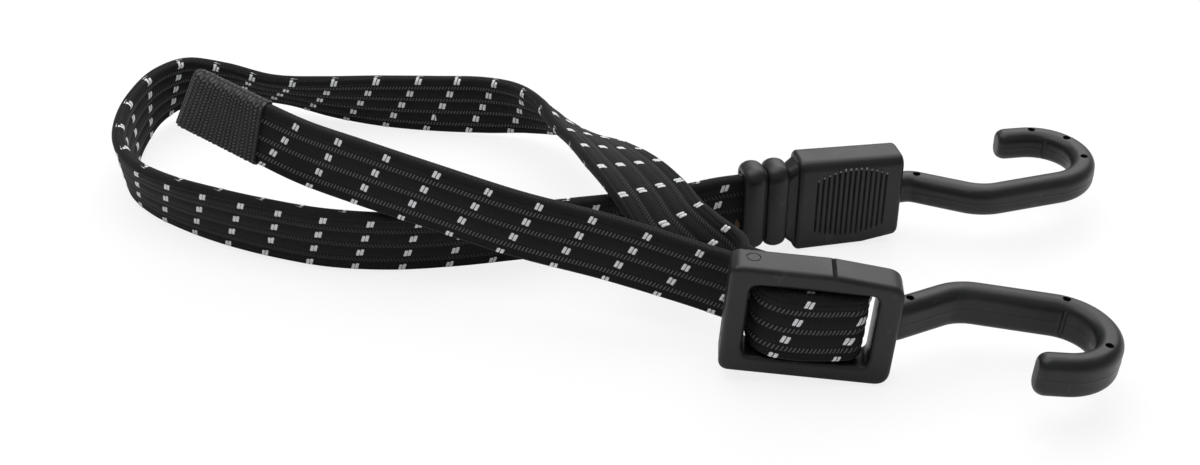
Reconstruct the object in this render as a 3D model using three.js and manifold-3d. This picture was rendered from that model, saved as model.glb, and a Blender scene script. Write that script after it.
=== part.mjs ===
// Flat elastic bungee strap: a hook moulded on its fixed end, a hooked adjuster and a free tail.
// Millimetres, +Z up. The origin is the middle of the fixed housing's foot, on the floor.

import * as THREE from 'three';
import { mergeVertices } from 'three/addons/utils/BufferGeometryUtils.js';
import Module from 'manifold-3d';

const wasm = await Module();
wasm.setup();

// Clearance between pieces that touch, how far a cutter runs past a face, and how close points weld
const GAP = 0.3;
const OVERCUT = 2;
const WELD = 1e-4;

// Elastic strap
const STRAP_WIDTH = 20;
const STRAP_THICKNESS = 3.8;
const STRAP_EDGE = 0.9;
const STRAP_STEPS_PER_POINT = 2;

// Wire cores of the hooks
const WIRE_DIAMETER = 2.8;
const WIRE_LEG_SPACING = 3.6;
const WIRE_END_COVER = 4;
const WIRE_SIDES = 8;
const HAIRPIN_STEPS = 6;

// Hook: sideways jog, shank, round bend and tip
const HOOK_WIDTH = 6.9;
const HOOK_CORNER = 3;
const HOOK_JOG = 11.5;
const HOOK_JOG_ANGLE = 34.5;
const HOOK_ROOT_BEND = 6;
const HOOK_SHANK_BEND = 14;
const HOOK_SHANK_ANGLE = 5;
const HOOK_REACH = 43.7;
const HOOK_BEND_RADIUS = 13.1;
const HOOK_TIP_ANGLE = 176;
const HOOK_TIP = 8;
const HOOK_TIP_ROUND = 3;
const HOOK_TIP_FLAT = 0.45;
const TIP_RING_ANGLES = [35, 65, 85];
const LOCATOR_DIAMETER = 2.2;
const FIXED_LOCATOR_FROM_ROOT = 3.4;
const ADJUSTER_LOCATOR_FROM_ROOT = 5.7;
const FIXED_LOCATOR_ANGLES = [62, 112, 160];
const ADJUSTER_LOCATOR_ANGLES = [12, 116];

// Fixed end: hook, housing, collar and the strap's anchor
const FIXED_YAW = 12;
const FIXED_HOOK_HEIGHT = 9;
const FIXED_HOOK_LEAD = 2.5;
const FIXED_AXIS_HEIGHT = 14.9;
const HOUSING_LENGTH = 31;
const FOOT_TO_HOOK_END = 14.5;
const HOUSING_HEIGHT = 29.4;
const HOUSING_HEIGHT_AT_HOOK = 28.1;
const FOOT_END = 4;
const FOOT_RISE = 1.6;
const HOUSING_DEPTH = 10.8;
const HOUSING_CORNER = 2.8;
const HOUSING_ROUND = 1.4;
const ROUND_STEP = 0.4;
const HOUSING_HOOK_WALL = 4;
const HOUSING_COLLAR_WALL = 2;
const COLLAR_LENGTH = 15.5;
const COLLAR_HEIGHT = 22.8;
const COLLAR_DEPTH = 7.6;
const COLLAR_CORNER = 3;
const RING_COUNT = 2;
const RING_PITCH = 6.6;
const RING_WIDTH = 6.3;
const RING_RISE = 1.7;
const STRAP_IN_COLLAR = 8;
const COLLAR_LEAD = 6;
const GRIP_COUNT = 14;
const GRIP_PITCH = 1.55;
const GRIP_MIDDLE = -0.9;
const GRIP_WIDTH = 0.7;
const GRIP_GROOVE_DEPTH = 0.5;
const GRIP_BOTTOM = 4.2;
const GRIP_TOP = 26;
const GRIP_ARCH = 3;
const GRIP_BOTTOM_ARCH = 2.4;
const ANCHOR_WIDTH = 18;
const ANCHOR_THICKNESS = 2.2;
const CRIMP_FROM_WALL = 1;
const CRIMP_LENGTH = 5;
const CRIMP_WALL = 1;
const CRIMP_CORNER = 0.4;
const EYE_SPLAY_ANGLE = 60;
const EYE_BEND = 3;
const EYE_STRAIGHT = 1;

// Adjuster: frame with a hook, a front bar and a hidden crossbar that the strap turns round
const ADJUSTER_POSITION = new THREE.Vector3(-17.45, -63.5, 17.4);
const ADJUSTER_YAW = -4;
const ADJUSTER_DIP = 4.2;
const ADJUSTER_LEAN = 1.6;
const ADJUSTER_HOOK_HEIGHT = 11.4;
const ADJUSTER_HOOK_RISE = 1.7;
const ADJUSTER_HOOK_SINK = 3;
const WIRE_ROOT_WALL = 0.9;
const FRAME_LENGTH = 44.2;
const FRAME_HEIGHT = 32;
const FRAME_HEIGHT_AT_HOOK = 30.2;
const FRAME_TAPER_START = 26;
const FRAME_DEPTH = 10;
const FRAME_ROUND = 1.5;
const FRAME_CORNER = 3;
const FRAME_HOOK_CORNER = 4.2;
const WINDOW_HEIGHT = 21.5;
const WINDOW_CORNER = 2.5;
const FRONT_BAR_WIDTH = 5.6;
const HOOK_BAR_WIDTH = 6.1;
const CROSSBAR_WIDTH = 8;
const CROSSBAR_THICKNESS = 4;
const CROSSBAR_ROUND = 1.9;
const CROSSBAR_FROM_HOOK_BAR = 5.5;
const NOTCH_WIDTH = 2;
const NOTCH_DEPTH = 1;

// Tape folded over the end of the tail
const TAB_LENGTH = 26;
const TAB_WIDTH = 20;
const TAB_THICKNESS = 1.1;
const TAB_ROUND = 0.3;

// Route of the strap's middle from the collar to the adjuster: x, y, z and twist from upright.
// The first part runs from the fixed end to the turn, then the turn, then back and over.
const FIXED_RUN_POINTS = [
  [-46.8, -9.6, 13.9, -3],
  [-60.8, -10.7, 12.5, -6],
  [-76.8, -12.0, 11.6, -8],
  [-94.0, -14.3, 11.0, -9],
  [-112.1, -16.9, 10.5, -9],
  [-130.1, -18.0, 10.3, -7],
  [-148.0, -16.2, 10.3, -5],
  [-164.6, -11.4, 10.4, -5],
];
const TURN_POINTS = [
  [-179.9, -5.3, 10.5, -7],
  [-193.4, 1.9, 10.4, -11],
  [-204.7, 10.5, 10.3, -12],
  [-212.3, 21.1, 10.3, -8],
  [-215.8, 34.0, 10.6, -4],
  [-215.4, 47.6, 11.8, 0],
  [-211.4, 60.4, 13.4, 8],
  [-203.4, 69.0, 13.8, 18],
  [-189.8, 70.6, 12.8, 31],
  [-173.8, 67.9, 11.4, 40],
  [-157.8, 65.0, 10.4, 26],
  [-140.5, 62.4, 10.3, 11],
  [-123.3, 60.4, 10.5, 3],
];
const RETURN_RUN_POINTS = [
  [-107.8, 57.9, 11.4, 2],
  [-95.8, 53.2, 13.0, 16],
  [-85.7, 44.3, 15.0, 37],
  [-78.5, 31.7, 16.8, 56],
  [-71.8, 18.5, 20.4, 71],
  [-66.7, 4.8, 23.8, 83],
  [-61.2, -8.0, 25.5, 93],
  [-55.7, -19.3, 24.8, 105],
  [-50.8, -29.0, 22.9, 120],
  [-44.4, -36.4, 20.9, 138],
  [-37.8, -42.4, 19.4, 156],
];

// Route of the tail's middle from the adjuster to its end.
const TAIL_POINTS = [
  [-45.8, -47.4, 19.4, 181],
  [-68.6, -40.0, 22.9, 183],
  [-93.6, -32.4, 25.6, 184],
  [-116.7, -24.4, 29.3, 184],
  [-137.3, -15.6, 31.6, 186],
  [-153.8, -7.3, 33.0, 185],
  [-167.9, -0.6, 36.4, 183],
  [-178.0, 4.2, 39.1, 182],
  [-188.1, 9.0, 41.8, 182],
];

// Route of the strap inside the adjuster, counted from the front edge of its window.
const WRAP_IN_POINTS = [[-1.5, 16.3], [7.2, 11.7], [16, 7.8]];
const WRAP_OUT_POINTS = [
  [18.9, -4.4], [13, -4.9], [7.9, -4.2], [4.4, -1.9], [2.8, 1.4],
  [2.2, 4.8], [0.3, 8], [-2.7, 10.2], [-6.3, 11.8],
];

const UP = new THREE.Vector3(0, 0, 1);
const radians = THREE.MathUtils.degToRad;

// Places along the axis of each end, worked out from the sizes above
const bodyEnd = FOOT_TO_HOOK_END;
const bodyStart = bodyEnd - HOUSING_LENGTH;
const collarMouth = bodyStart - COLLAR_LENGTH;
const hookRoot = bodyEnd - HOUSING_HOOK_WALL + GAP;
const wireRadius = WIRE_DIAMETER / 2;
const legHeight = WIRE_LEG_SPACING / 2;
const bendTurn = HOOK_TIP_ANGLE - HOOK_SHANK_ANGLE;
const eyeHeight = ANCHOR_WIDTH / 2 + GAP + wireRadius;
const strapEndInCollar = collarMouth + STRAP_IN_COLLAR;
const frameStart = -FRAME_LENGTH / 2;
const frameEnd = FRAME_LENGTH / 2;
const windowStart = frameStart + FRONT_BAR_WIDTH;
const windowEnd = frameEnd - HOOK_BAR_WIDTH;
const hookPlaceInFrame = [frameEnd - ADJUSTER_HOOK_SINK, 0, ADJUSTER_HOOK_RISE];
const adjusterRoot = HOOK_BAR_WIDTH - ADJUSTER_HOOK_SINK - WIRE_ROOT_WALL;
const crossbarEnd = windowEnd - CROSSBAR_FROM_HOOK_BAR;
const frontLayerY = -FRAME_DEPTH / 2 + STRAP_THICKNESS / 2;
const layerToBar = STRAP_THICKNESS / 2 + GAP + CROSSBAR_THICKNESS / 2;
const crossbarY = frontLayerY + layerToBar;
const backLayerY = crossbarY + layerToBar;
const bendX = crossbarEnd - CROSSBAR_THICKNESS / 2;
const wrapIn = WRAP_IN_POINTS.map(([x, y]) => [windowStart + x, y]);
const wrapOut = WRAP_OUT_POINTS.map(([x, y]) => [windowStart + x, y]);

// Solids and geometry

function geometryOfSolid(solid) {
  const mesh = solid.getMesh();
  const geometry = new THREE.BufferGeometry();
  geometry.setAttribute('position', new THREE.BufferAttribute(new Float32Array(mesh.vertProperties), 3));
  geometry.setIndex(new THREE.BufferAttribute(new Uint32Array(mesh.triVerts), 1));
  return geometry;
}

function solidOf(geometry) {
  const bare = geometry.clone();
  bare.deleteAttribute('normal');
  bare.deleteAttribute('uv');
  const merged = mergeVertices(bare, WELD);
  const mesh = new wasm.Mesh({
    numProp: 3,
    vertProperties: new Float32Array(merged.attributes.position.array),
    triVerts: new Uint32Array(merged.index.array),
  });
  return new wasm.Manifold(mesh);
}

function boxBetween(low, high) {
  const [x0, y0, z0] = low;
  const [x1, y1, z1] = high;
  const box = new THREE.BoxGeometry(x1 - x0, y1 - y0, z1 - z0);
  box.translate((x0 + x1) / 2, (y0 + y1) / 2, (z0 + z1) / 2);
  return box;
}

function roundedRectangle(width, height, radius, cornerSteps) {
  const points = [];
  const corners = [[1, 1, 0], [-1, 1, 90], [-1, -1, 180], [1, -1, 270]];
  for (const [sideX, sideY, start] of corners) {
    for (let i = 0; i <= cornerSteps; i += 1) {
      const angle = radians(start + (90 * i) / cornerSteps);
      const x = sideX * (width / 2 - radius) + radius * Math.cos(angle);
      const y = sideY * (height / 2 - radius) + radius * Math.sin(angle);
      points.push(new THREE.Vector2(x, y));
    }
  }
  return points;
}

// A closed skin through rings of points, with a flat cap at each end.
function loft(rings) {
  const count = rings[0].length;
  const positions = rings.flat().flatMap((point) => point.toArray());
  const index = [];
  for (let ring = 0; ring < rings.length - 1; ring += 1) {
    for (let i = 0; i < count; i += 1) {
      const a = ring * count + i;
      const b = ring * count + ((i + 1) % count);
      index.push(a, b, b + count, a, b + count, a + count);
    }
  }
  const last = (rings.length - 1) * count;
  for (let i = 1; i < count - 1; i += 1) {
    index.push(0, i + 1, i);
    index.push(last, last + i, last + i + 1);
  }
  const geometry = new THREE.BufferGeometry();
  geometry.setAttribute('position', new THREE.Float32BufferAttribute(positions, 3));
  geometry.setIndex(index);
  return geometry;
}

// A path given by its stations. The section's y follows `ups` where they are given.
class StationPath extends THREE.Curve {
  constructor(points, ups = null) {
    super();
    this.points = points;
    this.ups = ups;
  }

  getSpacedPoints() {
    return this.points;
  }

  tangentAt(i) {
    const before = this.points[Math.max(i - 1, 0)];
    const after = this.points[Math.min(i + 1, this.points.length - 1)];
    return new THREE.Vector3().subVectors(after, before).normalize();
  }

  computeFrenetFrames() {
    const tangents = this.points.map((_, i) => this.tangentAt(i));
    const normals = [];
    const binormals = [];
    let up = new THREE.Vector3(0, 0, 1);
    tangents.forEach((tangent, i) => {
      up = this.ups ? this.ups[i].clone() : up.clone();
      up.addScaledVector(tangent, -up.dot(tangent)).normalize();
      normals.push(new THREE.Vector3().crossVectors(up, tangent));
      binormals.push(up);
    });
    return { tangents, normals, binormals };
  }
}

function sweep(section, path) {
  const shape = new THREE.Shape(section);
  return new THREE.ExtrudeGeometry(shape, {
    steps: path.points.length - 1,
    extrudePath: path,
    bevelEnabled: false,
  });
}

function circle(radius, sides) {
  const points = [];
  for (let i = 0; i < sides; i += 1) {
    const angle = (2 * Math.PI * (i + 0.5)) / sides;
    points.push(new THREE.Vector2(radius * Math.cos(angle), radius * Math.sin(angle)));
  }
  return points;
}

// Points of a flat path walked from the origin along +x: straight lengths and turns.
function walk(moves) {
  const points = [new THREE.Vector2(0, 0)];
  let heading = 0;
  const step = (length) => {
    const from = points[points.length - 1];
    const ahead = new THREE.Vector2(Math.cos(heading), Math.sin(heading)).multiplyScalar(length);
    points.push(from.clone().add(ahead));
  };
  for (const { ahead, radius, turn, steps } of moves) {
    if (ahead) step(ahead);
    for (let i = 0; i < (steps ?? 0); i += 1) {
      const part = radians(turn) / steps;
      heading += part / 2;
      step(2 * radius * Math.sin(Math.abs(part) / 2));
      heading += part / 2;
    }
  }
  return points;
}

// Hooks and their wires

// Hook's middle line in its own plane, from its root; `side` is the side that it opens to.
function hookLine(rootLength, side) {
  const angle = radians(HOOK_JOG_ANGLE);
  const bends = HOOK_ROOT_BEND + HOOK_SHANK_BEND;
  const jog = (HOOK_JOG - bends * (1 - Math.cos(angle))) / Math.sin(angle);
  const jogReach = bends * Math.sin(angle) + jog * Math.cos(angle);
  const shankAngle = radians(HOOK_SHANK_ANGLE);
  const shank = (HOOK_REACH - jogReach) / Math.cos(shankAngle) - HOOK_SHANK_BEND * Math.tan(shankAngle);
  const line = walk([
    { ahead: rootLength },
    { radius: HOOK_ROOT_BEND, turn: -HOOK_JOG_ANGLE, steps: 3 },
    { ahead: jog },
    { radius: HOOK_SHANK_BEND, turn: HOOK_JOG_ANGLE + HOOK_SHANK_ANGLE, steps: 4 },
    { ahead: shank },
    { radius: HOOK_BEND_RADIUS, turn: bendTurn, steps: 15 },
    { ahead: HOOK_TIP },
  ]);
  return line.map((point) => new THREE.Vector2(point.x - rootLength, point.y * side));
}

function lengthsAlong(line) {
  const lengths = [0];
  for (let i = 1; i < line.length; i += 1) {
    lengths.push(lengths[i - 1] + line[i].distanceTo(line[i - 1]));
  }
  return lengths;
}

function pointAlong(line, distance) {
  const lengths = lengthsAlong(line);
  const next = lengths.findIndex((length) => length >= distance);
  const share = (distance - lengths[next - 1]) / (lengths[next] - lengths[next - 1]);
  return line[next - 1].clone().lerp(line[next], share);
}

function trimEnd(line, length) {
  const lengths = lengthsAlong(line);
  const end = lengths[lengths.length - 1] - length;
  const kept = line.filter((_, i) => lengths[i] < end - GAP);
  return [...kept, pointAlong(line, end)];
}

// Bar of the hook with a rounded tip.
function hookBar(line, height) {
  const section = roundedRectangle(HOOK_WIDTH, height, HOOK_CORNER, 3);
  const whole = trimEnd(line, HOOK_TIP_ROUND);
  const tip = line[line.length - 1];
  const tipStart = whole[whole.length - 1];
  const scales = whole.map(() => 1);
  for (const angle of TIP_RING_ANGLES) {
    whole.push(tipStart.clone().lerp(tip, Math.sin(radians(angle))));
    scales.push(THREE.MathUtils.lerp(HOOK_TIP_FLAT, 1, Math.cos(radians(angle))));
  }
  const path = new StationPath(whole.map((point) => new THREE.Vector3(point.x, point.y, 0)));
  const frames = path.computeFrenetFrames();
  const rings = path.points.map((centre, i) => section.map((point) => centre.clone()
    .addScaledVector(frames.normals[i], point.x * scales[i])
    .addScaledVector(frames.binormals[i], point.y * scales[i])));
  return loft(rings);
}

// Closed end of a wire, in the x-z plane, walked from the upper leg back to the lower one.
function eyeLine(height) {
  const angle = radians(EYE_SPLAY_ANGLE);
  const rise = height - legHeight;
  const slope = (rise - 2 * EYE_BEND * (1 - Math.cos(angle))) / Math.sin(angle);
  const half = walk([
    { radius: EYE_BEND, turn: EYE_SPLAY_ANGLE, steps: 3 },
    { ahead: slope },
    { radius: EYE_BEND, turn: -EYE_SPLAY_ANGLE, steps: 3 },
    { ahead: EYE_STRAIGHT },
    { radius: EYE_BEND, turn: -90, steps: 4 },
  ]);
  return half.map((point) => new THREE.Vector3(-point.x, 0, legHeight + point.y));
}

// One bent wire: tip, upper leg, closed end, lower leg, tip.
function wirePath(line, closedEnd) {
  const leg = trimEnd(line, WIRE_END_COVER).map((point) => new THREE.Vector3(point.x, point.y, legHeight));
  const start = leg[0];
  const closed = closedEnd.slice(1).map((point) => point.clone().add(new THREE.Vector3(start.x, 0, 0)));
  const upper = [...leg.reverse(), ...closed];
  const lower = upper.map((point) => new THREE.Vector3(point.x, point.y, -point.z)).reverse();
  const joined = lower[0].distanceTo(upper[upper.length - 1]) < GAP ? lower.slice(1) : lower;
  return new StationPath([...upper, ...joined]);
}

// One bent wire: upper leg, hairpin in the hook's tip, lower leg.
function hairpinPath(line) {
  const leg = trimEnd(line, WIRE_END_COVER + legHeight);
  const end = leg[leg.length - 1];
  const ahead = end.clone().sub(leg[leg.length - 2]).normalize();
  const points = leg.map((point) => new THREE.Vector3(point.x, point.y, legHeight));
  for (let i = 1; i < HAIRPIN_STEPS; i += 1) {
    const angle = (Math.PI * i) / HAIRPIN_STEPS;
    const bulge = end.clone().addScaledVector(ahead, legHeight * Math.sin(angle));
    points.push(new THREE.Vector3(bulge.x, bulge.y, legHeight * Math.cos(angle)));
  }
  const lower = leg.map((point) => new THREE.Vector3(point.x, point.y, -legHeight));
  return new StationPath([...points, ...lower.reverse()]);
}

// Core-locating holes in the hook's upper edge, down to the upper leg of the wire.
function locatorHoles(line, height, distances) {
  return distances.map((distance) => {
    const hole = new THREE.CylinderGeometry(LOCATOR_DIAMETER / 2, LOCATOR_DIAMETER / 2, height, 10);
    hole.rotateX(Math.PI / 2);
    const place = pointAlong(line, distance);
    hole.translate(place.x, place.y, legHeight + height / 2);
    return solidOf(hole);
  });
}

function bendDistance(line, degrees) {
  const lengths = lengthsAlong(line);
  const bendStart = lengths[lengths.length - 1] - HOOK_TIP - HOOK_BEND_RADIUS * radians(bendTurn);
  return bendStart + HOOK_BEND_RADIUS * radians(degrees);
}

// Fixed end

function housingShell() {
  const sectionAt = (x, low, high, depth, corner) => {
    const flat = roundedRectangle(depth, high - low, corner, 4);
    return flat.map((point) => new THREE.Vector3(x, point.x, point.y + (low + high) / 2));
  };
  const collarLow = FIXED_AXIS_HEIGHT - COLLAR_HEIGHT / 2;
  const collarHigh = FIXED_AXIS_HEIGHT + COLLAR_HEIGHT / 2;
  const rings = [];
  const collar = (x, rise) => {
    const depth = COLLAR_DEPTH + 2 * rise;
    rings.push(sectionAt(x, collarLow - rise, collarHigh + rise, depth, COLLAR_CORNER + rise));
  };
  for (let ring = 0; ring < RING_COUNT; ring += 1) {
    const middle = collarMouth + RING_WIDTH / 2 + ring * RING_PITCH;
    for (let i = 0; i <= 6; i += 1) {
      const angle = radians(-90 + 30 * i);
      collar(middle + (RING_WIDTH / 2) * Math.sin(angle), RING_RISE * Math.cos(angle));
    }
  }
  const body = (x, inset) => {
    const share = (x - bodyStart) / HOUSING_LENGTH;
    const high = HOUSING_HEIGHT + (HOUSING_HEIGHT_AT_HOOK - HOUSING_HEIGHT) * share;
    const low = FOOT_RISE * Math.max(0, (x - FOOT_END) / (bodyEnd - FOOT_END));
    const corner = HOUSING_CORNER - inset * ROUND_STEP;
    rings.push(sectionAt(x, low + inset, high - inset, HOUSING_DEPTH - 2 * inset, corner));
  };
  body(bodyStart, HOUSING_ROUND);
  body(bodyStart + HOUSING_ROUND * ROUND_STEP, HOUSING_ROUND * ROUND_STEP);
  body(bodyStart + HOUSING_ROUND, 0);
  body(FOOT_END, 0);
  body(bodyEnd - HOUSING_ROUND, 0);
  body(bodyEnd - HOUSING_ROUND * ROUND_STEP, HOUSING_ROUND * ROUND_STEP);
  body(bodyEnd, HOUSING_ROUND);
  return solidOf(loft(rings));
}

// Upright grip grooves between two arches, on the front and the back face.
function gripGrooves() {
  const grooves = [];
  const halfSpan = (GRIP_COUNT * GRIP_PITCH) / 2;
  for (const side of [-1, 1]) {
    const inner = side * (HOUSING_DEPTH / 2 - GRIP_GROOVE_DEPTH);
    const outer = side * (HOUSING_DEPTH / 2 + OVERCUT);
    for (let i = 0; i < GRIP_COUNT; i += 1) {
      const fromMiddle = (i - (GRIP_COUNT - 1) / 2) * GRIP_PITCH;
      const x = GRIP_MIDDLE + fromMiddle;
      const outness = (fromMiddle / halfSpan) ** 2;
      const top = GRIP_TOP - GRIP_ARCH * outness;
      const bottom = GRIP_BOTTOM + GRIP_BOTTOM_ARCH * outness;
      const low = [x - GRIP_WIDTH / 2, Math.min(inner, outer), bottom];
      const high = [x + GRIP_WIDTH / 2, Math.max(inner, outer), top];
      grooves.push(solidOf(boxBetween(low, high)));
    }
  }
  return grooves;
}

function fixedHousing(hookSection) {
  const pocketHalfDepth = ANCHOR_THICKNESS + wireRadius + 2 * GAP;
  const pocketHalfHeight = eyeHeight + wireRadius + GAP;
  const pocket = boxBetween(
    [bodyStart + HOUSING_COLLAR_WALL, -pocketHalfDepth, FIXED_AXIS_HEIGHT - pocketHalfHeight],
    [bodyEnd - HOUSING_HOOK_WALL, pocketHalfDepth, FIXED_AXIS_HEIGHT + pocketHalfHeight],
  );
  const strapHalfDepth = STRAP_THICKNESS / 2 + GAP;
  const strapHalfHeight = STRAP_WIDTH / 2 + GAP;
  const throat = boxBetween(
    [collarMouth - OVERCUT, -strapHalfDepth, FIXED_AXIS_HEIGHT - strapHalfHeight],
    [bodyStart + HOUSING_COLLAR_WALL + OVERCUT, strapHalfDepth, FIXED_AXIS_HEIGHT + strapHalfHeight],
  );
  const start = new THREE.Vector3(bodyEnd - HOUSING_HOOK_WALL - OVERCUT, 0, FIXED_AXIS_HEIGHT);
  const end = new THREE.Vector3(bodyEnd + OVERCUT, 0, FIXED_AXIS_HEIGHT);
  const hookHole = sweep(hookSection, new StationPath([start, end]));
  let housing = housingShell();
  for (const cutter of [pocket, throat, hookHole]) housing = housing.subtract(solidOf(cutter));
  for (const groove of gripGrooves()) housing = housing.subtract(groove);
  return geometryOfSolid(housing);
}

// Strap end folded round the wire's eye: in along one side, round the eye and back.
function anchorPath() {
  const layerY = ANCHOR_THICKNESS / 2 + GAP / 2;
  const eyeY = wireRadius + GAP + ANCHOR_THICKNESS / 2;
  const eyeX = hookRoot - eyeReach();
  const crimpEnd = crimpStart() + CRIMP_LENGTH;
  const flat = [
    [strapEndInCollar + GAP, 0],
    [bodyStart + HOUSING_COLLAR_WALL - 1, 0],
    [crimpStart() - GAP, -layerY],
    [crimpEnd + GAP, -layerY],
    [eyeX - EYE_BEND, -eyeY],
  ];
  for (let i = 0; i <= 8; i += 1) {
    const angle = radians(-90 + 22.5 * i);
    flat.push([eyeX + eyeY * Math.cos(angle), eyeY * Math.sin(angle)]);
  }
  flat.push([eyeX - EYE_BEND, eyeY], [crimpEnd + GAP, layerY], [crimpStart() - GAP, layerY]);
  const points = flat.map(([x, y]) => new THREE.Vector3(x, y, FIXED_AXIS_HEIGHT));
  return new StationPath(points);
}

function crimpStart() {
  return bodyStart + HOUSING_COLLAR_WALL + CRIMP_FROM_WALL;
}

function eyeReach() {
  const line = eyeLine(eyeHeight);
  return -line[line.length - 1].x;
}

function crimpBand() {
  const innerDepth = 2 * ANCHOR_THICKNESS + 3 * GAP;
  const innerHeight = ANCHOR_WIDTH + 2 * GAP;
  const outside = [innerDepth + 2 * CRIMP_WALL, innerHeight + 2 * CRIMP_WALL];
  const band = new THREE.Shape(roundedRectangle(...outside, CRIMP_CORNER + CRIMP_WALL, 2));
  band.holes.push(new THREE.Path(roundedRectangle(innerDepth, innerHeight, CRIMP_CORNER, 2)));
  const geometry = new THREE.ExtrudeGeometry(band, { depth: CRIMP_LENGTH, bevelEnabled: false });
  geometry.rotateX(Math.PI / 2);
  geometry.rotateZ(Math.PI / 2);
  geometry.translate(crimpStart(), 0, FIXED_AXIS_HEIGHT);
  return geometry;
}

// Adjuster

function frameOutline() {
  const half = FRAME_HEIGHT / 2;
  const hookTop = FRAME_HEIGHT_AT_HOOK - half;
  const taperStart = frameStart + FRAME_TAPER_START;
  const shape = new THREE.Shape();
  shape.moveTo(frameStart + FRAME_CORNER, -half);
  shape.lineTo(frameEnd - FRAME_HOOK_CORNER, -half);
  shape.quadraticCurveTo(frameEnd, -half, frameEnd, -half + FRAME_HOOK_CORNER);
  shape.lineTo(frameEnd, hookTop - FRAME_HOOK_CORNER);
  shape.quadraticCurveTo(frameEnd, hookTop, frameEnd - FRAME_HOOK_CORNER, hookTop);
  shape.lineTo(taperStart, half);
  shape.lineTo(frameStart + FRAME_CORNER, half);
  shape.quadraticCurveTo(frameStart, half, frameStart, half - FRAME_CORNER);
  shape.lineTo(frameStart, -half + FRAME_CORNER);
  shape.quadraticCurveTo(frameStart, -half, frameStart + FRAME_CORNER, -half);
  const middle = (windowStart + windowEnd) / 2;
  const opening = roundedRectangle(windowEnd - windowStart, WINDOW_HEIGHT, WINDOW_CORNER, 3);
  const hole = opening.map((point) => new THREE.Vector2(point.x + middle, point.y));
  shape.holes.push(new THREE.Path(hole));
  return shape;
}

function adjusterFrame(line, wire) {
  const plate = new THREE.ExtrudeGeometry(frameOutline(), {
    depth: FRAME_DEPTH - 2 * FRAME_ROUND,
    curveSegments: 4,
    bevelThickness: FRAME_ROUND,
    bevelSize: FRAME_ROUND,
    bevelOffset: -FRAME_ROUND,
    bevelSegments: 2,
  });
  plate.translate(0, 0, FRAME_ROUND - FRAME_DEPTH / 2);
  plate.rotateX(Math.PI / 2);
  const barEnds = WINDOW_HEIGHT + 2 * OVERCUT;
  const barShape = new THREE.Shape(roundedRectangle(CROSSBAR_WIDTH, CROSSBAR_THICKNESS, CROSSBAR_ROUND, 4));
  const crossbar = new THREE.ExtrudeGeometry(barShape, { depth: barEnds, bevelEnabled: false });
  crossbar.translate(crossbarEnd - CROSSBAR_WIDTH / 2, crossbarY, -barEnds / 2);
  const bar = hookBar(line, ADJUSTER_HOOK_HEIGHT);
  bar.translate(...hookPlaceInFrame);
  const channel = sweep(circle(wireRadius + GAP, WIRE_SIDES), wire);
  channel.translate(...hookPlaceInFrame);
  const notch = new THREE.CylinderGeometry(NOTCH_WIDTH, NOTCH_WIDTH, FRAME_DEPTH + OVERCUT, 4);
  notch.translate(frameStart + FRAME_TAPER_START, 0, FRAME_HEIGHT / 2 + NOTCH_WIDTH - NOTCH_DEPTH);
  const holes = locatorHoles(line, ADJUSTER_HOOK_HEIGHT, [
    adjusterRoot + ADJUSTER_LOCATOR_FROM_ROOT,
    ...ADJUSTER_LOCATOR_ANGLES.map((angle) => bendDistance(line, angle)),
  ]);
  let frame = solidOf(plate).add(solidOf(crossbar)).add(solidOf(bar));
  frame = frame.subtract(solidOf(channel)).subtract(solidOf(notch));
  for (const hole of holes) frame = frame.subtract(hole.translate(hookPlaceInFrame));
  return geometryOfSolid(frame);
}

// Strap inside the adjuster: past the front bar, round the crossbar and back behind the front bar.
function wrapPath() {
  const flat = [...wrapIn.slice(1)];
  for (let i = 0; i <= 8; i += 1) {
    const angle = radians(90 - 22.5 * i);
    flat.push([bendX + layerToBar * Math.cos(angle), crossbarY + layerToBar * Math.sin(angle)]);
  }
  flat.push(...wrapOut);
  const points = flat.map(([x, y]) => new THREE.Vector3(x, y, 0));
  return new StationPath(points);
}

// Strap stretches

// A smooth route through x, y, z points that also carries the strap's twist from upright.
class StrapRoute {
  constructor(points) {
    this.last = points.length - 1;
    this.middle = new THREE.CatmullRomCurve3(points.map(([x, y, z]) => new THREE.Vector3(x, y, z)));
    this.twists = points.map((point) => radians(point[3]));
  }

  twistAt(place) {
    const i = Math.min(Math.floor(place), this.last - 1);
    return THREE.MathUtils.lerp(this.twists[i], this.twists[i + 1], place - i);
  }

  // Stations between two points of the list, given by their numbers.
  between(from, to, trimStart, trimEndLength) {
    const steps = (to - from) * STRAP_STEPS_PER_POINT;
    const points = [];
    const ups = [];
    for (let i = 0; i <= steps; i += 1) {
      const place = from + (i * (to - from)) / steps;
      const tangent = this.middle.getTangent(place / this.last);
      const up = UP.clone().addScaledVector(tangent, -tangent.z).normalize();
      const across = new THREE.Vector3().crossVectors(tangent, up);
      const twist = this.twistAt(place);
      points.push(this.middle.getPoint(place / this.last));
      ups.push(up.multiplyScalar(Math.cos(twist)).addScaledVector(across, Math.sin(twist)));
    }
    points[0].addScaledVector(this.middle.getTangent(from / this.last), trimStart);
    points[steps].addScaledVector(this.middle.getTangent(to / this.last), -trimEndLength);
    return new StationPath(points, ups);
  }
}

function strapSection(width, thickness) {
  const cut = STRAP_EDGE;
  const x = thickness / 2;
  const y = width / 2;
  const corners = [
    [x, -y + cut], [x, y - cut], [x - cut, y], [cut - x, y],
    [-x, y - cut], [-x, cut - y], [cut - x, -y], [x - cut, -y],
  ];
  return corners.map((corner) => new THREE.Vector2(...corner));
}

// Groups and materials

const FABRIC = { color: 0x17181a, roughness: 0.9, metalness: 0 };
const TAPE = { color: 0x1c1d1f, roughness: 0.95, metalness: 0 };
const MOULDED = { color: 0x141517, roughness: 0.5, metalness: 0 };
const STEEL = { color: 0x9a9da0, roughness: 0.35, metalness: 1 };

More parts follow.
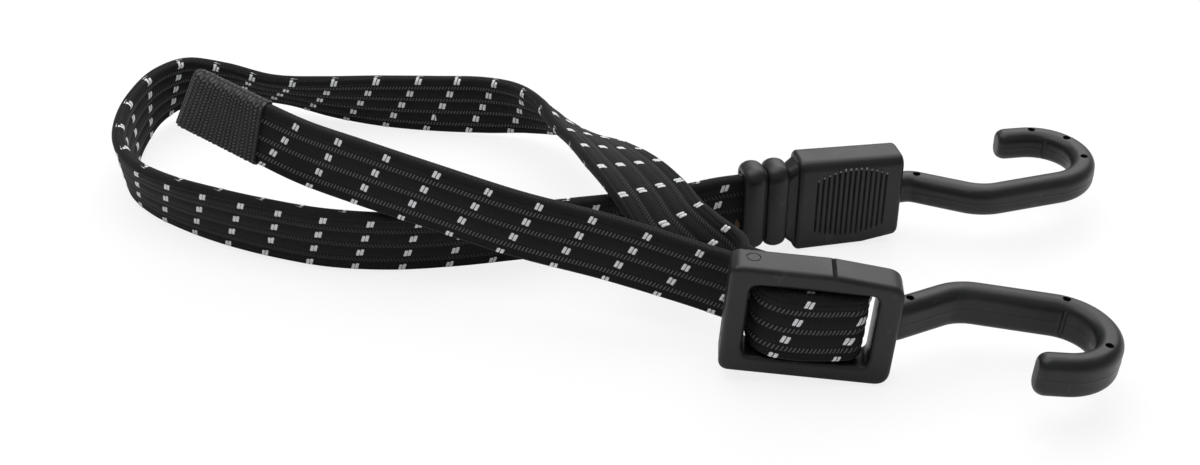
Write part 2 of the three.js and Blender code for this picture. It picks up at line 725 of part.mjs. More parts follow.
function addNode(group, name, geometry, look) {
  const mesh = new THREE.Mesh(geometry, new THREE.MeshStandardMaterial(look));
  mesh.name = name;
  group.add(mesh);
  return mesh;
}

const part = new THREE.Group();

const fixedEnd = new THREE.Group();
fixedEnd.rotation.z = radians(FIXED_YAW);
part.add(fixedEnd);

const adjuster = new THREE.Group();
adjuster.position.copy(ADJUSTER_POSITION);
adjuster.rotation.set(-radians(ADJUSTER_LEAN), radians(ADJUSTER_DIP), radians(ADJUSTER_YAW), 'ZYX');
part.add(adjuster);
part.updateMatrixWorld(true);

// Fixed end pieces
const fixedRoot = bodyEnd + FIXED_HOOK_LEAD - hookRoot;
const fixedHookLine = hookLine(fixedRoot, 1);
const fixedWire = wirePath(fixedHookLine, eyeLine(eyeHeight));
const fixedHookHole = roundedRectangle(HOOK_WIDTH + 2 * GAP, FIXED_HOOK_HEIGHT + 2 * GAP, HOOK_CORNER, 3);
addNode(fixedEnd, 'fixed_housing', fixedHousing(fixedHookHole), MOULDED);

let fixedHook = solidOf(hookBar(fixedHookLine, FIXED_HOOK_HEIGHT));
fixedHook = fixedHook.subtract(solidOf(sweep(circle(wireRadius + GAP, WIRE_SIDES), fixedWire)));
const fixedLocators = [
  fixedRoot + FIXED_LOCATOR_FROM_ROOT,
  ...FIXED_LOCATOR_ANGLES.map((angle) => bendDistance(fixedHookLine, angle)),
];
for (const hole of locatorHoles(fixedHookLine, FIXED_HOOK_HEIGHT, fixedLocators)) {
  fixedHook = fixedHook.subtract(hole);
}
const hookPlace = new THREE.Vector3(bodyEnd + FIXED_HOOK_LEAD, 0, FIXED_AXIS_HEIGHT);
addNode(fixedEnd, 'fixed_hook_cover', geometryOfSolid(fixedHook), MOULDED).position.copy(hookPlace);
const fixedCore = sweep(circle(wireRadius, WIRE_SIDES), fixedWire);
addNode(fixedEnd, 'fixed_hook_wire', fixedCore, STEEL).position.copy(hookPlace);
addNode(fixedEnd, 'strap_anchor', sweep(strapSection(ANCHOR_WIDTH, ANCHOR_THICKNESS), anchorPath()), FABRIC);
addNode(fixedEnd, 'strap_crimp', crimpBand(), STEEL);

// Adjuster pieces
const adjusterHookLine = hookLine(adjusterRoot, -1);
const adjusterWire = hairpinPath(adjusterHookLine);
addNode(adjuster, 'adjuster_frame', adjusterFrame(adjusterHookLine, adjusterWire), MOULDED);
const adjusterCore = sweep(circle(wireRadius, WIRE_SIDES), adjusterWire);
addNode(adjuster, 'adjuster_hook_wire', adjusterCore, STEEL).position.set(...hookPlaceInFrame);
const wrap = wrapPath();
const section = strapSection(STRAP_WIDTH, STRAP_THICKNESS);
addNode(adjuster, 'strap_bar_wrap', sweep(section, wrap), FABRIC);

// Strap stretches, which start on the collar's axis and end on the strap inside the adjuster
const inFixedEnd = (x) => [...fixedEnd.localToWorld(new THREE.Vector3(x, 0, FIXED_AXIS_HEIGHT)).toArray(), 0];
const strapUpInAdjuster = new THREE.Vector3(0, 0, -1).transformDirection(adjuster.matrixWorld);

// A place inside the adjuster with the twist that lays the strap along the adjuster's own height.
function inAdjuster(place, next) {
  const [here, there] = [place, next].map(([x, y]) => adjuster.localToWorld(new THREE.Vector3(x, y, 0)));
  const tangent = there.clone().sub(here).normalize();
  const up = UP.clone().addScaledVector(tangent, -tangent.z).normalize();
  const across = new THREE.Vector3().crossVectors(tangent, up);
  const twist = Math.atan2(strapUpInAdjuster.dot(across), strapUpInAdjuster.dot(up));
  return [...here.toArray(), (THREE.MathUtils.radToDeg(twist) + 360) % 360];
}

const collarPoints = [inFixedEnd(strapEndInCollar), inFixedEnd(collarMouth - COLLAR_LEAD)];
const returnEnd = [
  inAdjuster(wrapIn[0], wrapIn[1]),
  inAdjuster(wrapIn[1], wrapIn[2]),
  inAdjuster(wrapIn[2], [bendX, backLayerY]),
];
const main = new StrapRoute(
  [...collarPoints, ...FIXED_RUN_POINTS, ...TURN_POINTS, ...RETURN_RUN_POINTS, ...returnEnd],
);
const turnStart = collarPoints.length + FIXED_RUN_POINTS.length - 1;
const turnEnd = turnStart + TURN_POINTS.length;
addNode(part, 'strap_fixed_run', sweep(section, main.between(0, turnStart, 0, GAP / 2)), FABRIC);
addNode(part, 'strap_loop', sweep(section, main.between(turnStart, turnEnd, GAP / 2, GAP / 2)), FABRIC);
addNode(part, 'strap_return_run', sweep(section, main.between(turnEnd, main.last - 1, GAP / 2, GAP)), FABRIC);

const [beforeExit, exit] = wrapOut.slice(-2);
const afterExit = [2 * exit[0] - beforeExit[0], 2 * exit[1] - beforeExit[1]];
const tail = new StrapRoute([inAdjuster(beforeExit, exit), inAdjuster(exit, afterExit), ...TAIL_POINTS]);
addNode(part, 'strap_tail', sweep(section, tail.between(1, tail.last, GAP, 0)), FABRIC);

// Tape folded round the tail's end, in the plane square to the strap's width
function tabPath() {
  const end = tail.between(tail.last - 1, tail.last, 0, 0);
  const frames = end.computeFrenetFrames();
  const last = end.points.length - 1;
  const tip = end.points[last];
  const along = frames.tangents[last];
  const outward = frames.normals[last];
  const reach = STRAP_THICKNESS / 2 + GAP + TAB_THICKNESS / 2;
  const flat = [[-TAB_LENGTH, -reach], [GAP, -reach]];
  for (let i = 1; i < 6; i += 1) {
    const angle = radians(-90 + 30 * i);
    flat.push([GAP + reach * Math.cos(angle), reach * Math.sin(angle)]);
  }
  flat.push([GAP, reach], [-TAB_LENGTH, reach]);
  const points = flat.map(([x, y]) => tip.clone().addScaledVector(along, x).addScaledVector(outward, y));
  return new StationPath(points, points.map(() => frames.binormals[last]));
}

addNode(part, 'tail_tab', sweep(roundedRectangle(TAB_THICKNESS, TAB_WIDTH, TAB_ROUND, 1), tabPath()), TAPE);

export default part;
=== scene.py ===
import math

import bmesh
import bpy
import numpy as np
from mathutils import Matrix, Vector


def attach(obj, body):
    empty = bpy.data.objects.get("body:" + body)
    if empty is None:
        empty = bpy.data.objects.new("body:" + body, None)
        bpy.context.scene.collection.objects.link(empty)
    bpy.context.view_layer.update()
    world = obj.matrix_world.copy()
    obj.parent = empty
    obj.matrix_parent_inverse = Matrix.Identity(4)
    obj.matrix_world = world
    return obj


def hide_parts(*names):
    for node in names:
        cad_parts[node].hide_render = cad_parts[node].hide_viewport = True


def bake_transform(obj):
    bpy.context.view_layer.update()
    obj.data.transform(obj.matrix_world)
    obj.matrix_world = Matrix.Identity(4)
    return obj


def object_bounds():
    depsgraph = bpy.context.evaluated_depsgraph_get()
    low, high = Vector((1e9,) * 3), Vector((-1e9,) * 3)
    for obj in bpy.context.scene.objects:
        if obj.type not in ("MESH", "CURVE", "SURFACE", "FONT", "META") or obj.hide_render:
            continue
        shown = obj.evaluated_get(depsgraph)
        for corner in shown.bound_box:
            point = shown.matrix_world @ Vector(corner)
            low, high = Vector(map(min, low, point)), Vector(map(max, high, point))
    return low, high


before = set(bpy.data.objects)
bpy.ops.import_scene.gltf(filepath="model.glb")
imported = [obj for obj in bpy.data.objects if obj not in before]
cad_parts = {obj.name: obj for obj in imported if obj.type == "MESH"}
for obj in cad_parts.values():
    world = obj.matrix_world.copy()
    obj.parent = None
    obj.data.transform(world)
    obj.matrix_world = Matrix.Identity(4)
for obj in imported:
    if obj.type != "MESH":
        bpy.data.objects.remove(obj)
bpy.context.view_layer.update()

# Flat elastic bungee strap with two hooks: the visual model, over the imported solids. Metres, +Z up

MM = 0.001

# Camera, at the photograph's angle

CAMERA_PLACE = (-0.0711, -0.4135, 0.275)
CAMERA_PITCH_DOWN = 33.5
CAMERA_LENS, CAMERA_SENSOR, CAMERA_CLIP = 51, 36, 0.01
camera_data = bpy.data.cameras.new("camera")
camera_data.lens = CAMERA_LENS
camera_data.sensor_fit = "HORIZONTAL"
camera_data.sensor_width = CAMERA_SENSOR
camera_data.clip_start = CAMERA_CLIP
camera = bpy.data.objects.new("camera", camera_data)
camera.location = CAMERA_PLACE
camera.rotation_euler = (math.radians(90 - CAMERA_PITCH_DOWN), 0, 0)
bpy.context.collection.objects.link(camera)
bpy.context.scene.camera = camera

# The strap's route, as in the part's source: x, y, z in metres and the twist from upright in degrees

STRAP_WIDTH = 0.020
FIXED_YAW = 12
FIXED_AXIS_HEIGHT = 0.0149
COLLAR_MOUTH = -0.032
STRAP_IN_COLLAR = 0.008
COLLAR_LEAD = 0.006
FIXED_RUN_POINTS = [
    (-0.0468, -0.0096, 0.0139, -3),
    (-0.0608, -0.0107, 0.0125, -6),
    (-0.0768, -0.0120, 0.0116, -8),
    (-0.0940, -0.0143, 0.0110, -9),
    (-0.1121, -0.0169, 0.0105, -9),
    (-0.1301, -0.0180, 0.0103, -7),
    (-0.1480, -0.0162, 0.0103, -5),
    (-0.1646, -0.0114, 0.0104, -5),
]
TURN_POINTS = [
    (-0.1799, -0.0053, 0.0105, -7),
    (-0.1934, 0.0019, 0.0104, -11),
    (-0.2047, 0.0105, 0.0103, -12),
    (-0.2123, 0.0211, 0.0103, -8),
    (-0.2158, 0.0340, 0.0106, -4),
    (-0.2154, 0.0476, 0.0118, 0),
    (-0.2114, 0.0604, 0.0134, 8),
    (-0.2034, 0.0690, 0.0138, 18),
    (-0.1898, 0.0706, 0.0128, 31),
    (-0.1738, 0.0679, 0.0114, 40),
    (-0.1578, 0.0650, 0.0104, 26),
    (-0.1405, 0.0624, 0.0103, 11),
    (-0.1233, 0.0604, 0.0105, 3),
]
RETURN_RUN_POINTS = [
    (-0.1078, 0.0579, 0.0114, 2),
    (-0.0958, 0.0532, 0.0130, 16),
    (-0.0857, 0.0443, 0.0150, 37),
    (-0.0785, 0.0317, 0.0168, 56),
    (-0.0718, 0.0185, 0.0204, 71),
    (-0.0667, 0.0048, 0.0238, 83),
    (-0.0612, -0.0080, 0.0255, 93),
    (-0.0557, -0.0193, 0.0248, 105),
    (-0.0508, -0.0290, 0.0229, 120),
    (-0.0444, -0.0364, 0.0209, 138),
    (-0.0378, -0.0424, 0.0194, 156),
]
TAIL_POINTS = [
    (-0.0458, -0.0474, 0.0194, 181),
    (-0.0686, -0.0400, 0.0229, 183),
    (-0.0936, -0.0324, 0.0256, 184),
    (-0.1167, -0.0244, 0.0293, 184),
    (-0.1373, -0.0156, 0.0316, 186),
    (-0.1538, -0.0073, 0.0330, 185),
    (-0.1679, -0.0006, 0.0364, 183),
    (-0.1780, 0.0042, 0.0391, 182),
    (-0.1881, 0.0090, 0.0418, 182),
]
WRAP_IN_POINTS = [(-0.0180, 0.0163), (-0.0093, 0.0117), (-0.0005, 0.0078)]
WRAP_OUT_POINTS = [
    (0.0024, -0.0044),
    (-0.0035, -0.0049),
    (-0.0086, -0.0042),
    (-0.0121, -0.0019),
    (-0.0137, 0.0014),
    (-0.0143, 0.0048),
    (-0.0162, 0.0080),
    (-0.0192, 0.0102),
    (-0.0228, 0.0118),
]
WRAP_MIDDLE = (0.0085, 0.0011)
WRAP_RADIUS = 0.0042
TAIL_TRIM = 0.0013
TAIL_END_SHEAR = 0.0045
SHEAR_RUN = 0.026
ADJUSTER_PLACE = (-0.01745, -0.0635, 0.0174)
ADJUSTER_YAW, ADJUSTER_DIP, ADJUSTER_LEAN = -4, 4.2, -1.6
STATION_STEP, SAME_STATION = 0.0008, 1e-5
SPAN_STEPS, WRAP_SPAN_STEPS, WRAP_TURN_STEP = 40, 12, 15
SMALLEST_KNOT = 1e-6

fixed_end = Matrix.Rotation(math.radians(FIXED_YAW), 4, "Z")
adjuster = Matrix.Translation(ADJUSTER_PLACE) @ (
    Matrix.Rotation(math.radians(ADJUSTER_YAW), 4, "Z")
    @ Matrix.Rotation(math.radians(ADJUSTER_DIP), 4, "Y")
    @ Matrix.Rotation(math.radians(ADJUSTER_LEAN), 4, "X")
)


def unit(rows):
    return rows / np.linalg.norm(rows, axis=1, keepdims=True)


def lengths_along(points):
    """Length from the first point to each point."""
    return np.concatenate([[0], np.cumsum(np.linalg.norm(np.diff(points, axis=0), axis=1))])


def between(s, at, rows):
    """Rows read at lengths s, between the lengths at which they are known."""
    return np.stack([np.interp(s, at, rows[:, k]) for k in range(3)], -1)


def in_fixed_end(x):
    """A place on the fixed end's axis, with no twist."""
    return (*(fixed_end @ Vector((x, 0, FIXED_AXIS_HEIGHT))), 0)


def in_adjuster(place, following):
    """A place in the adjuster's plane, with the twist that lays the strap along the adjuster's height."""
    here, there = (adjuster @ Vector((x, y, 0)) for x, y in (place, following))
    along = (there - here).normalized()
    up = (Vector((0, 0, 1)) - along * along.z).normalized()
    width = (adjuster.to_3x3() @ Vector((0, 0, -1))).normalized()
    twist = math.degrees(math.atan2(width.dot(along.cross(up)), width.dot(up))) % 360
    return (*here, twist)


def spline(points, places):
    """Centripetal curve through the points, at places counted in points."""
    points = np.asarray(points, float)
    padded = np.vstack([2 * points[0] - points[1], points, 2 * points[-1] - points[-2]])
    i = np.minimum(places.astype(int), len(points) - 2)
    w = (places - i)[:, None]
    a, b, c, d = (padded[i + k] for k in range(4))

    def knot(p, q):
        return np.maximum(np.linalg.norm((q - p)[:, :3], axis=1, keepdims=True) ** 0.5, SMALLEST_KNOT)

    k0, k1, k2 = knot(a, b), knot(b, c), knot(c, d)
    m1 = k1 * ((b - a) / k0 - (c - a) / (k0 + k1) + (c - b) / k1)
    m2 = k1 * ((c - b) / k1 - (d - b) / (k1 + k2) + (d - c) / k2)
    return b + w * m1 + w**2 * (3 * (c - b) - 2 * m1 - m2) + w**3 * (2 * (b - c) + m1 + m2)


class Strand:
    """Stations along a stretch of strap: middle, width direction, face direction and length so far."""

    start = 0.0
    shear = 0.0
    shear_end = 0.0

    def __init__(self, middles, widths):
        along = lengths_along(middles)
        self.length = along[-1]
        self.at = np.linspace(0, self.length, max(int(self.length / STATION_STEP), 2) + 1)
        self.middles = between(self.at, along, middles)
        self.tangents = unit(np.gradient(self.middles, self.at, axis=0))
        widths = between(self.at, along, widths)
        widths -= self.tangents * (widths * self.tangents).sum(1, keepdims=True)
        self.widths = unit(widths)
        self.faces = np.cross(self.widths, self.tangents)

    def place(self, s, across, out):
        """Points at length s, offset across the width and out of the face, all in metres."""
        s = s - self.shear * (0.5 - across / STRAP_WIDTH) * self._shear_share(s)
        known = (self.middles, self.widths, self.faces)
        middles, widths, faces = (between(s, self.at, rows) for rows in known)
        return middles + widths * across[..., None] + faces * out[..., None]

    def _shear_share(self, s):
        share = np.clip((s - self.shear_end) / SHEAR_RUN + 1, 0, 1)
        return share**2 * (3 - 2 * share)

    def part(self, start, end):
        """The stretch between two lengths, with the same stations and directions."""
        piece = object.__new__(Strand)
        inside = self.at[(self.at > start + SAME_STATION) & (self.at < end - SAME_STATION)]
        stations = np.concatenate([[start], inside, [end]])
        piece.start = self.start + start
        piece.at = stations - start
        piece.length = end - start
        for name in ("middles", "widths", "faces", "tangents"):
            setattr(piece, name, between(stations, self.at, getattr(self, name)))
        return piece


def route(points, first, last):
    """The strand between two points of a route, and the length at which each whole point lies."""
    places = np.linspace(first, last, (last - first) * SPAN_STEPS + 1)
    rows = spline(points, places)
    middles = rows[:, :3]
    tangents = unit(np.gradient(middles, axis=0))
    up = unit(np.array([0, 0, 1.0]) - tangents * tangents[:, 2:3])
    twist = np.radians(rows[:, 3:4])
    widths = up * np.cos(twist) + np.cross(tangents, up) * np.sin(twist)
    return Strand(middles, widths), lengths_along(middles)[::SPAN_STEPS]


collar_points = [in_fixed_end(COLLAR_MOUTH + STRAP_IN_COLLAR), in_fixed_end(COLLAR_MOUTH - COLLAR_LEAD)]
wrap_turn = [
    (
        WRAP_MIDDLE[0] + WRAP_RADIUS * math.cos(math.radians(turn)),
        WRAP_MIDDLE[1] + WRAP_RADIUS * math.sin(math.radians(turn)),
    )
    for turn in range(90, -91, -WRAP_TURN_STEP)
]
wrap_entry = [*WRAP_IN_POINTS, wrap_turn[0]]
return_end = [in_adjuster(place, following) for place, following in zip(wrap_entry, wrap_entry[1:])]
main_points = [*collar_points, *FIXED_RUN_POINTS, *TURN_POINTS, *RETURN_RUN_POINTS, *return_end]
turn_start = len(collar_points) + len(FIXED_RUN_POINTS) - 1
turn_end = turn_start + len(TURN_POINTS)
before_exit, tail_exit = WRAP_OUT_POINTS[-2:]
after_exit = tuple(2 * b - a for a, b in zip(before_exit, tail_exit))
tail_points = [in_adjuster(before_exit, tail_exit), in_adjuster(tail_exit, after_exit), *TAIL_POINTS]

main_strand, main_lengths = route(main_points, 0, len(main_points) - 2)
fixed_strand = main_strand.part(0, main_lengths[turn_start])
loop_strand = main_strand.part(main_lengths[turn_start], main_lengths[turn_end])
return_strand = main_strand.part(main_lengths[turn_end], main_strand.length)
whole_tail, tail_lengths = route(tail_points, 0, len(tail_points) - 1)
tail_strand = whole_tail.part(0, whole_tail.length - TAIL_TRIM)
tail_strand.shear = TAIL_END_SHEAR
tail_strand.shear_end = tail_strand.length


def wrap_strand():
    """Strap inside the adjuster: in behind the front bar, round the crossbar and out again."""
    flat = [*WRAP_IN_POINTS[1:], *wrap_turn, *WRAP_OUT_POINTS]
    points = np.array([(*(adjuster @ Vector((x, y, 0))), 0) for x, y in flat])
    middles = spline(points, np.linspace(0, len(flat) - 1, len(flat) * WRAP_SPAN_STEPS))[:, :3]
    width = np.array((adjuster.to_3x3() @ Vector((0, 0, -1))).normalized())
    whole = Strand(middles, np.tile(width, (len(middles), 1)))
    return whole.part(0, whole.length - tail_lengths[1])


# Ribbed elastic webbing: section, flecks and mesh

HALF_THICKNESS = 0.00156
RIB_RISE = 0.00032
BROAD_RIB, THIN_RIB, THIN_RIB_RISE, RIB_FULLNESS = 0.6, 0.3, 0.7, 0.7
EDGE_ROUND = 0.0016
EDGE_GROOVE_AT = 0.00175
EDGE_GROOVE_WIDTH = 0.00026
EDGE_GROOVE_DEPTH = 0.00022
EDGE_PIPE_MARGIN = 0.0003
EDGE_PIPE = EDGE_GROOVE_AT + EDGE_PIPE_MARGIN
ACROSS_COUNT, EDGE_CROWDING = 64, 0.055
FRONT_LABEL, BACK_LABEL = 10, 20
UV_LENGTH = 0.01
FRONT_ROWS = (0.13, 0.39, 0.65, 0.91)
LOOP_BACK_ROWS = (0.05, 0.27, 0.49, 0.71, 0.93)
TAIL_BACK_ROWS = (0.05, 0.34, 0.62, 0.90)
FLECK_HALF_LENGTH = 0.00118
FLECK_HALF_WIDTH = 0.00052
FLECK_SPLIT = 0.00054
FLECK_SLANT = 0.00040
FLECK_RISE = 0.00024
FLECK_SINK = 0.00006
FLECK_STEP = 0.0045
FLECK_TO_END = 0.0004
SPARE_COLUMNS = 2
FLECK_LEAN_CHANGE = (0.11, 0.15)
FLOAT_GRID, FLOAT_FULLNESS, FLOAT_END_FULLNESS = (6, 7), 0.6, 0.5
BARE_ELASTIC_AT, BARE_ELASTIC_STEP, BARE_ELASTIC_COUNT = 0.0087, 0.00042, 3
BARE_ELASTIC_ROW, BARE_ELASTIC_FALL, BARE_ELASTIC_SIZE = 0.80, 0.03, (0.00024, 0.0016, 0.0001)
FLECK_SLOT, RUBBER_SLOT = 1, 2


def row_number(across, rows):
    """Place across the width counted in rows of flecks."""
    rows = np.asarray(rows)
    steps = np.diff(rows)
    ends = np.concatenate([[rows[0] - steps[0]], rows, [rows[-1] + steps[-1]]])
    return np.interp(across, ends, np.arange(-1, len(rows) + 1))


def rib_profile(across, rows):
    """Rise of the ribs: a broad one under each row of flecks, a thin one half way between."""
    number = row_number(across, rows)
    phase = number - np.round(number)
    broad = np.clip(np.cos(np.pi * phase / BROAD_RIB), 0, 1) ** RIB_FULLNESS
    thin = np.clip(np.cos(np.pi * (0.5 - np.abs(phase)) / THIN_RIB), 0, 1)
    return np.maximum(broad, THIN_RIB_RISE * thin)


def face_height(across, rows):
    """Height of a face over the strap's middle plane, with piped, rounded edges. across runs 0 to 1."""
    inward = np.minimum(across, 1 - across) * STRAP_WIDTH
    edge = np.clip(1 - inward / EDGE_ROUND, 0, 1)
    rounding = np.sqrt(np.clip(1 - edge**2, 0, 1))
    ribs = np.where(inward < EDGE_GROOVE_AT, 1.0, rib_profile(across, rows))
    groove = np.exp(-(((inward - EDGE_GROOVE_AT) / EDGE_GROOVE_WIDTH) ** 2))
    return (HALF_THICKNESS + RIB_RISE * ribs - EDGE_GROOVE_DEPTH * groove) * rounding


def across_samples():
    """Places across the width, closer together in the rounded edges."""
    t = np.linspace(0, 1, ACROSS_COUNT + 1)
    return t - EDGE_CROWDING * np.sin(2 * np.pi * t)


def mesh_object(name, verts, faces, uvs=None, materials=(), slots=None, flat_faces=()):
    mesh = bpy.data.meshes.new(name)
    mesh.from_pydata([tuple(v) for v in verts], [], faces)
    for material in materials:
        mesh.materials.append(material)
    smooth = np.ones(len(faces), bool)
    smooth[list(flat_faces)] = False
    mesh.polygons.foreach_set("use_smooth", smooth)
    if slots is not None:
        mesh.polygons.foreach_set("material_index", slots)
    if uvs is not None:
        layer = mesh.uv_layers.new(name="weave")
        index = np.empty(len(mesh.loops), np.int32)
        mesh.loops.foreach_get("vertex_index", index)
        layer.data.foreach_set("uv", np.asarray(uvs, np.float32)[index].ravel())
    mesh.validate()
    mesh.update()
    piece = bpy.data.objects.new(name, mesh)
    bpy.context.collection.objects.link(piece)
    return piece


def ring_faces(stations, count, joined=False):
    """Faces between rings of points, and from the last ring to the first where they are joined."""
    faces = []
    for i in range(stations if joined else stations - 1):
        low, high = i * count, (i + 1) % stations * count
        for j in range(count):
            k = (j + 1) % count
            faces.append((low + j, low + k, high + k, high + j))
    return faces


def webbing(name, strand, back_rows, flecks, closed=(True, True), bare_elastic=False):
    """A stretch of webbing: ribbed body, and white floats that stand out of its ribs."""
    t = across_samples()
    front = [(a, FRONT_ROWS, 1) for a in t]
    back = [(a, back_rows, -1) for a in t[-2:0:-1]]
    ring = front + back
    count = len(ring)
    across = np.array([(0.5 - a) * STRAP_WIDTH for a, _, _ in ring])
    out = np.array([side * face_height(a, rows) for a, rows, side in ring])
    stations = len(strand.at)
    s = np.repeat(strand.at, count)
    verts = strand.place(s, np.tile(across, stations), np.tile(out, stations))
    labels = {1: FRONT_LABEL, -1: BACK_LABEL}
    weave = np.array([row_number(a, rows) + labels[side] for a, rows, side in ring])
    inward = np.array([min(a, 1 - a) * STRAP_WIDTH for a, _, _ in ring])
    weave = np.where(inward < EDGE_PIPE, np.round(weave), weave)
    uvs = np.stack([(s + strand.start) / UV_LENGTH, np.tile(weave, stations)], 1)
    faces = [(a, d, c, b) for a, b, c, d in ring_faces(stations, count)]
    first_cap = len(faces)
    if closed[0]:
        faces.append(tuple(range(count)))
    if closed[1]:
        faces.append(tuple(range(stations * count - 1, (stations - 1) * count - 1, -1)))
    caps = range(first_cap, len(faces))
    slots = [0] * len(faces)
    parts = ([verts], [uvs], faces, slots)
    for side, rows in ((1, FRONT_ROWS), (-1, back_rows)):
        add_flecks(strand, side, rows, flecks[side], parts)
    if bare_elastic:
        add_bare_elastic(strand, parts)
    verts, uvs = (np.concatenate(blocks) for blocks in parts[:2])
    return mesh_object(name, verts, faces, uvs, (WEBBING, FLECK, RUBBER), slots, caps)


def fleck_places(strand, row, columns):
    """Lengths along the strand at which one row carries a fleck.

    The columns are given by their first place, pitch and lean, and a lean may change along the strand.
    A further pair holds a place before which the columns stand closer, and by what share.
    """
    first, pitch, lean, *closer = columns
    low, high = math.floor(-first / pitch), math.ceil((strand.length - first) / pitch)
    numbers = np.arange(low - SPARE_COLUMNS, high + SPARE_COLUMNS + 1)
    at_edge = first + numbers * pitch
    for limit, share in closer:
        at_edge = np.where(at_edge < limit, limit - (limit - at_edge) * share, at_edge)
    slant = np.interp(at_edge, FLECK_LEAN_CHANGE, lean) if isinstance(lean, tuple) else lean
    places = at_edge + slant * row
    return places[(places > FLECK_TO_END) & (places < strand.length - FLECK_TO_END)]


def add_float(strand, side, rows, middle, row, size, slot, parts):
    """One float of yarn laid over a face: half width along the strap, half length across it and slant."""
    verts, uvs, faces, slots = parts
    half_width, half_length, slant = size
    count_along, count_across = FLOAT_GRID
    a, b = np.meshgrid(np.linspace(-1, 1, count_along), np.linspace(-1, 1, count_across), indexing="ij")
    over = np.clip(1 - a**2, 0, 1) ** FLOAT_FULLNESS * np.clip(1 - b**4, 0, 1) ** FLOAT_END_FULLNESS
    s = middle + a * half_width + b * slant * side
    t = row + b * half_length / STRAP_WIDTH
    t_in = np.clip(t, 0, 1)
    wrapped = np.where(t < 0, -t, np.where(t > 1, t - 1, 0)) * STRAP_WIDTH
    height = face_height(t_in, rows) - wrapped + FLECK_RISE * over - FLECK_SINK
    points = strand.place(s, (0.5 - t_in) * STRAP_WIDTH, height * side)
    start = sum(len(block) for block in verts)
    verts.append(points.reshape(-1, 3))
    uvs.append(np.stack([s.ravel() / UV_LENGTH, t.ravel()], 1))
    for i in range(count_along - 1):
        for j in range(count_across - 1):
            k = start + i * count_across + j
            quad = (k, k + count_across, k + count_across + 1, k + 1)
            faces.append(quad if side < 0 else quad[::-1])
            slots.append(slot)


def add_flecks(strand, side, rows, columns, parts):
    """Two slanted floats of white yarn for each fleck, laid over the rib that carries it."""
    size = (FLECK_HALF_WIDTH, FLECK_HALF_LENGTH, FLECK_SLANT)
    for row in rows:
        for middle in fleck_places(strand, row, columns):
            for half in (-1, 1):
                place = middle + half * FLECK_SPLIT
                add_float(strand, side, rows, place, row + half * FLECK_STEP, size, FLECK_SLOT, parts)


def add_bare_elastic(strand, parts):
    """Rubber core that shows between the yarns at the collar's mouth."""
    for k in range(BARE_ELASTIC_COUNT):
        middle = BARE_ELASTIC_AT + k * BARE_ELASTIC_STEP
        row = BARE_ELASTIC_ROW - BARE_ELASTIC_FALL * k
        add_float(strand, 1, FRONT_ROWS, middle, row, BARE_ELASTIC_SIZE, RUBBER_SLOT, parts)


# Materials. Pitches in millimetres along the strap, colours linear

YARN_PITCH, FLECK_YARN_PITCH = 0.46, 0.24
# The dashes' share on front faces is cut down as painted shade
DASH_PITCH, DASH_HALF_BAND, DASH_SLANT, SHADED_FRONT_DASH_SHARE = 1.0, 0.125, 2.6, 0.38
DASH_GAIN, DASH_DROP, DASH_SOFTNESS = 1.8, -0.5, 0.3
YARN_DARK, YARN_LIGHT, DASH_GREY = (0.0025, 0.0025, 0.0028), (0.0095, 0.0096, 0.0102), (0.135, 0.136, 0.140)
FLECK_SHADED, FLECK_WHITE = (0.38, 0.385, 0.40), (0.80, 0.805, 0.82)
RUBBER_DARK, RUBBER_LIGHT = (0.050, 0.026, 0.015), (0.130, 0.070, 0.040)
PLASTIC_DARK, PLASTIC_LIGHT = (0.0040, 0.0043, 0.0050), (0.0120, 0.0126, 0.0138)
# Lighter plastic for the lips over the grip grooves: painted highlight
LIP_HIGHLIGHT_DARK, LIP_HIGHLIGHT_LIGHT = (0.17, 0.17, 0.17), (0.30, 0.30, 0.295)
SCUFF_GREY, SCUFF_LIMIT, SCUFF_SHARE = (0.060, 0.062, 0.065), 0.67, 0.16
# Tape colours: painted shade in the weave's hollows, painted highlight on its crests
TAPE_HOLLOW_SHADE, TAPE_CREST_HIGHLIGHT, CREST_SHARPNESS = (0.0010, 0.0010, 0.0012), (0.0920, 0.0920, 0.0955), 1.7
STEEL_DARK, STEEL_LIGHT = (0.40, 0.41, 0.42), (0.62, 0.63, 0.64)
MIX_COLOUR_INPUTS, MIX_COLOUR_OUTPUT = (0, 6, 7), 2


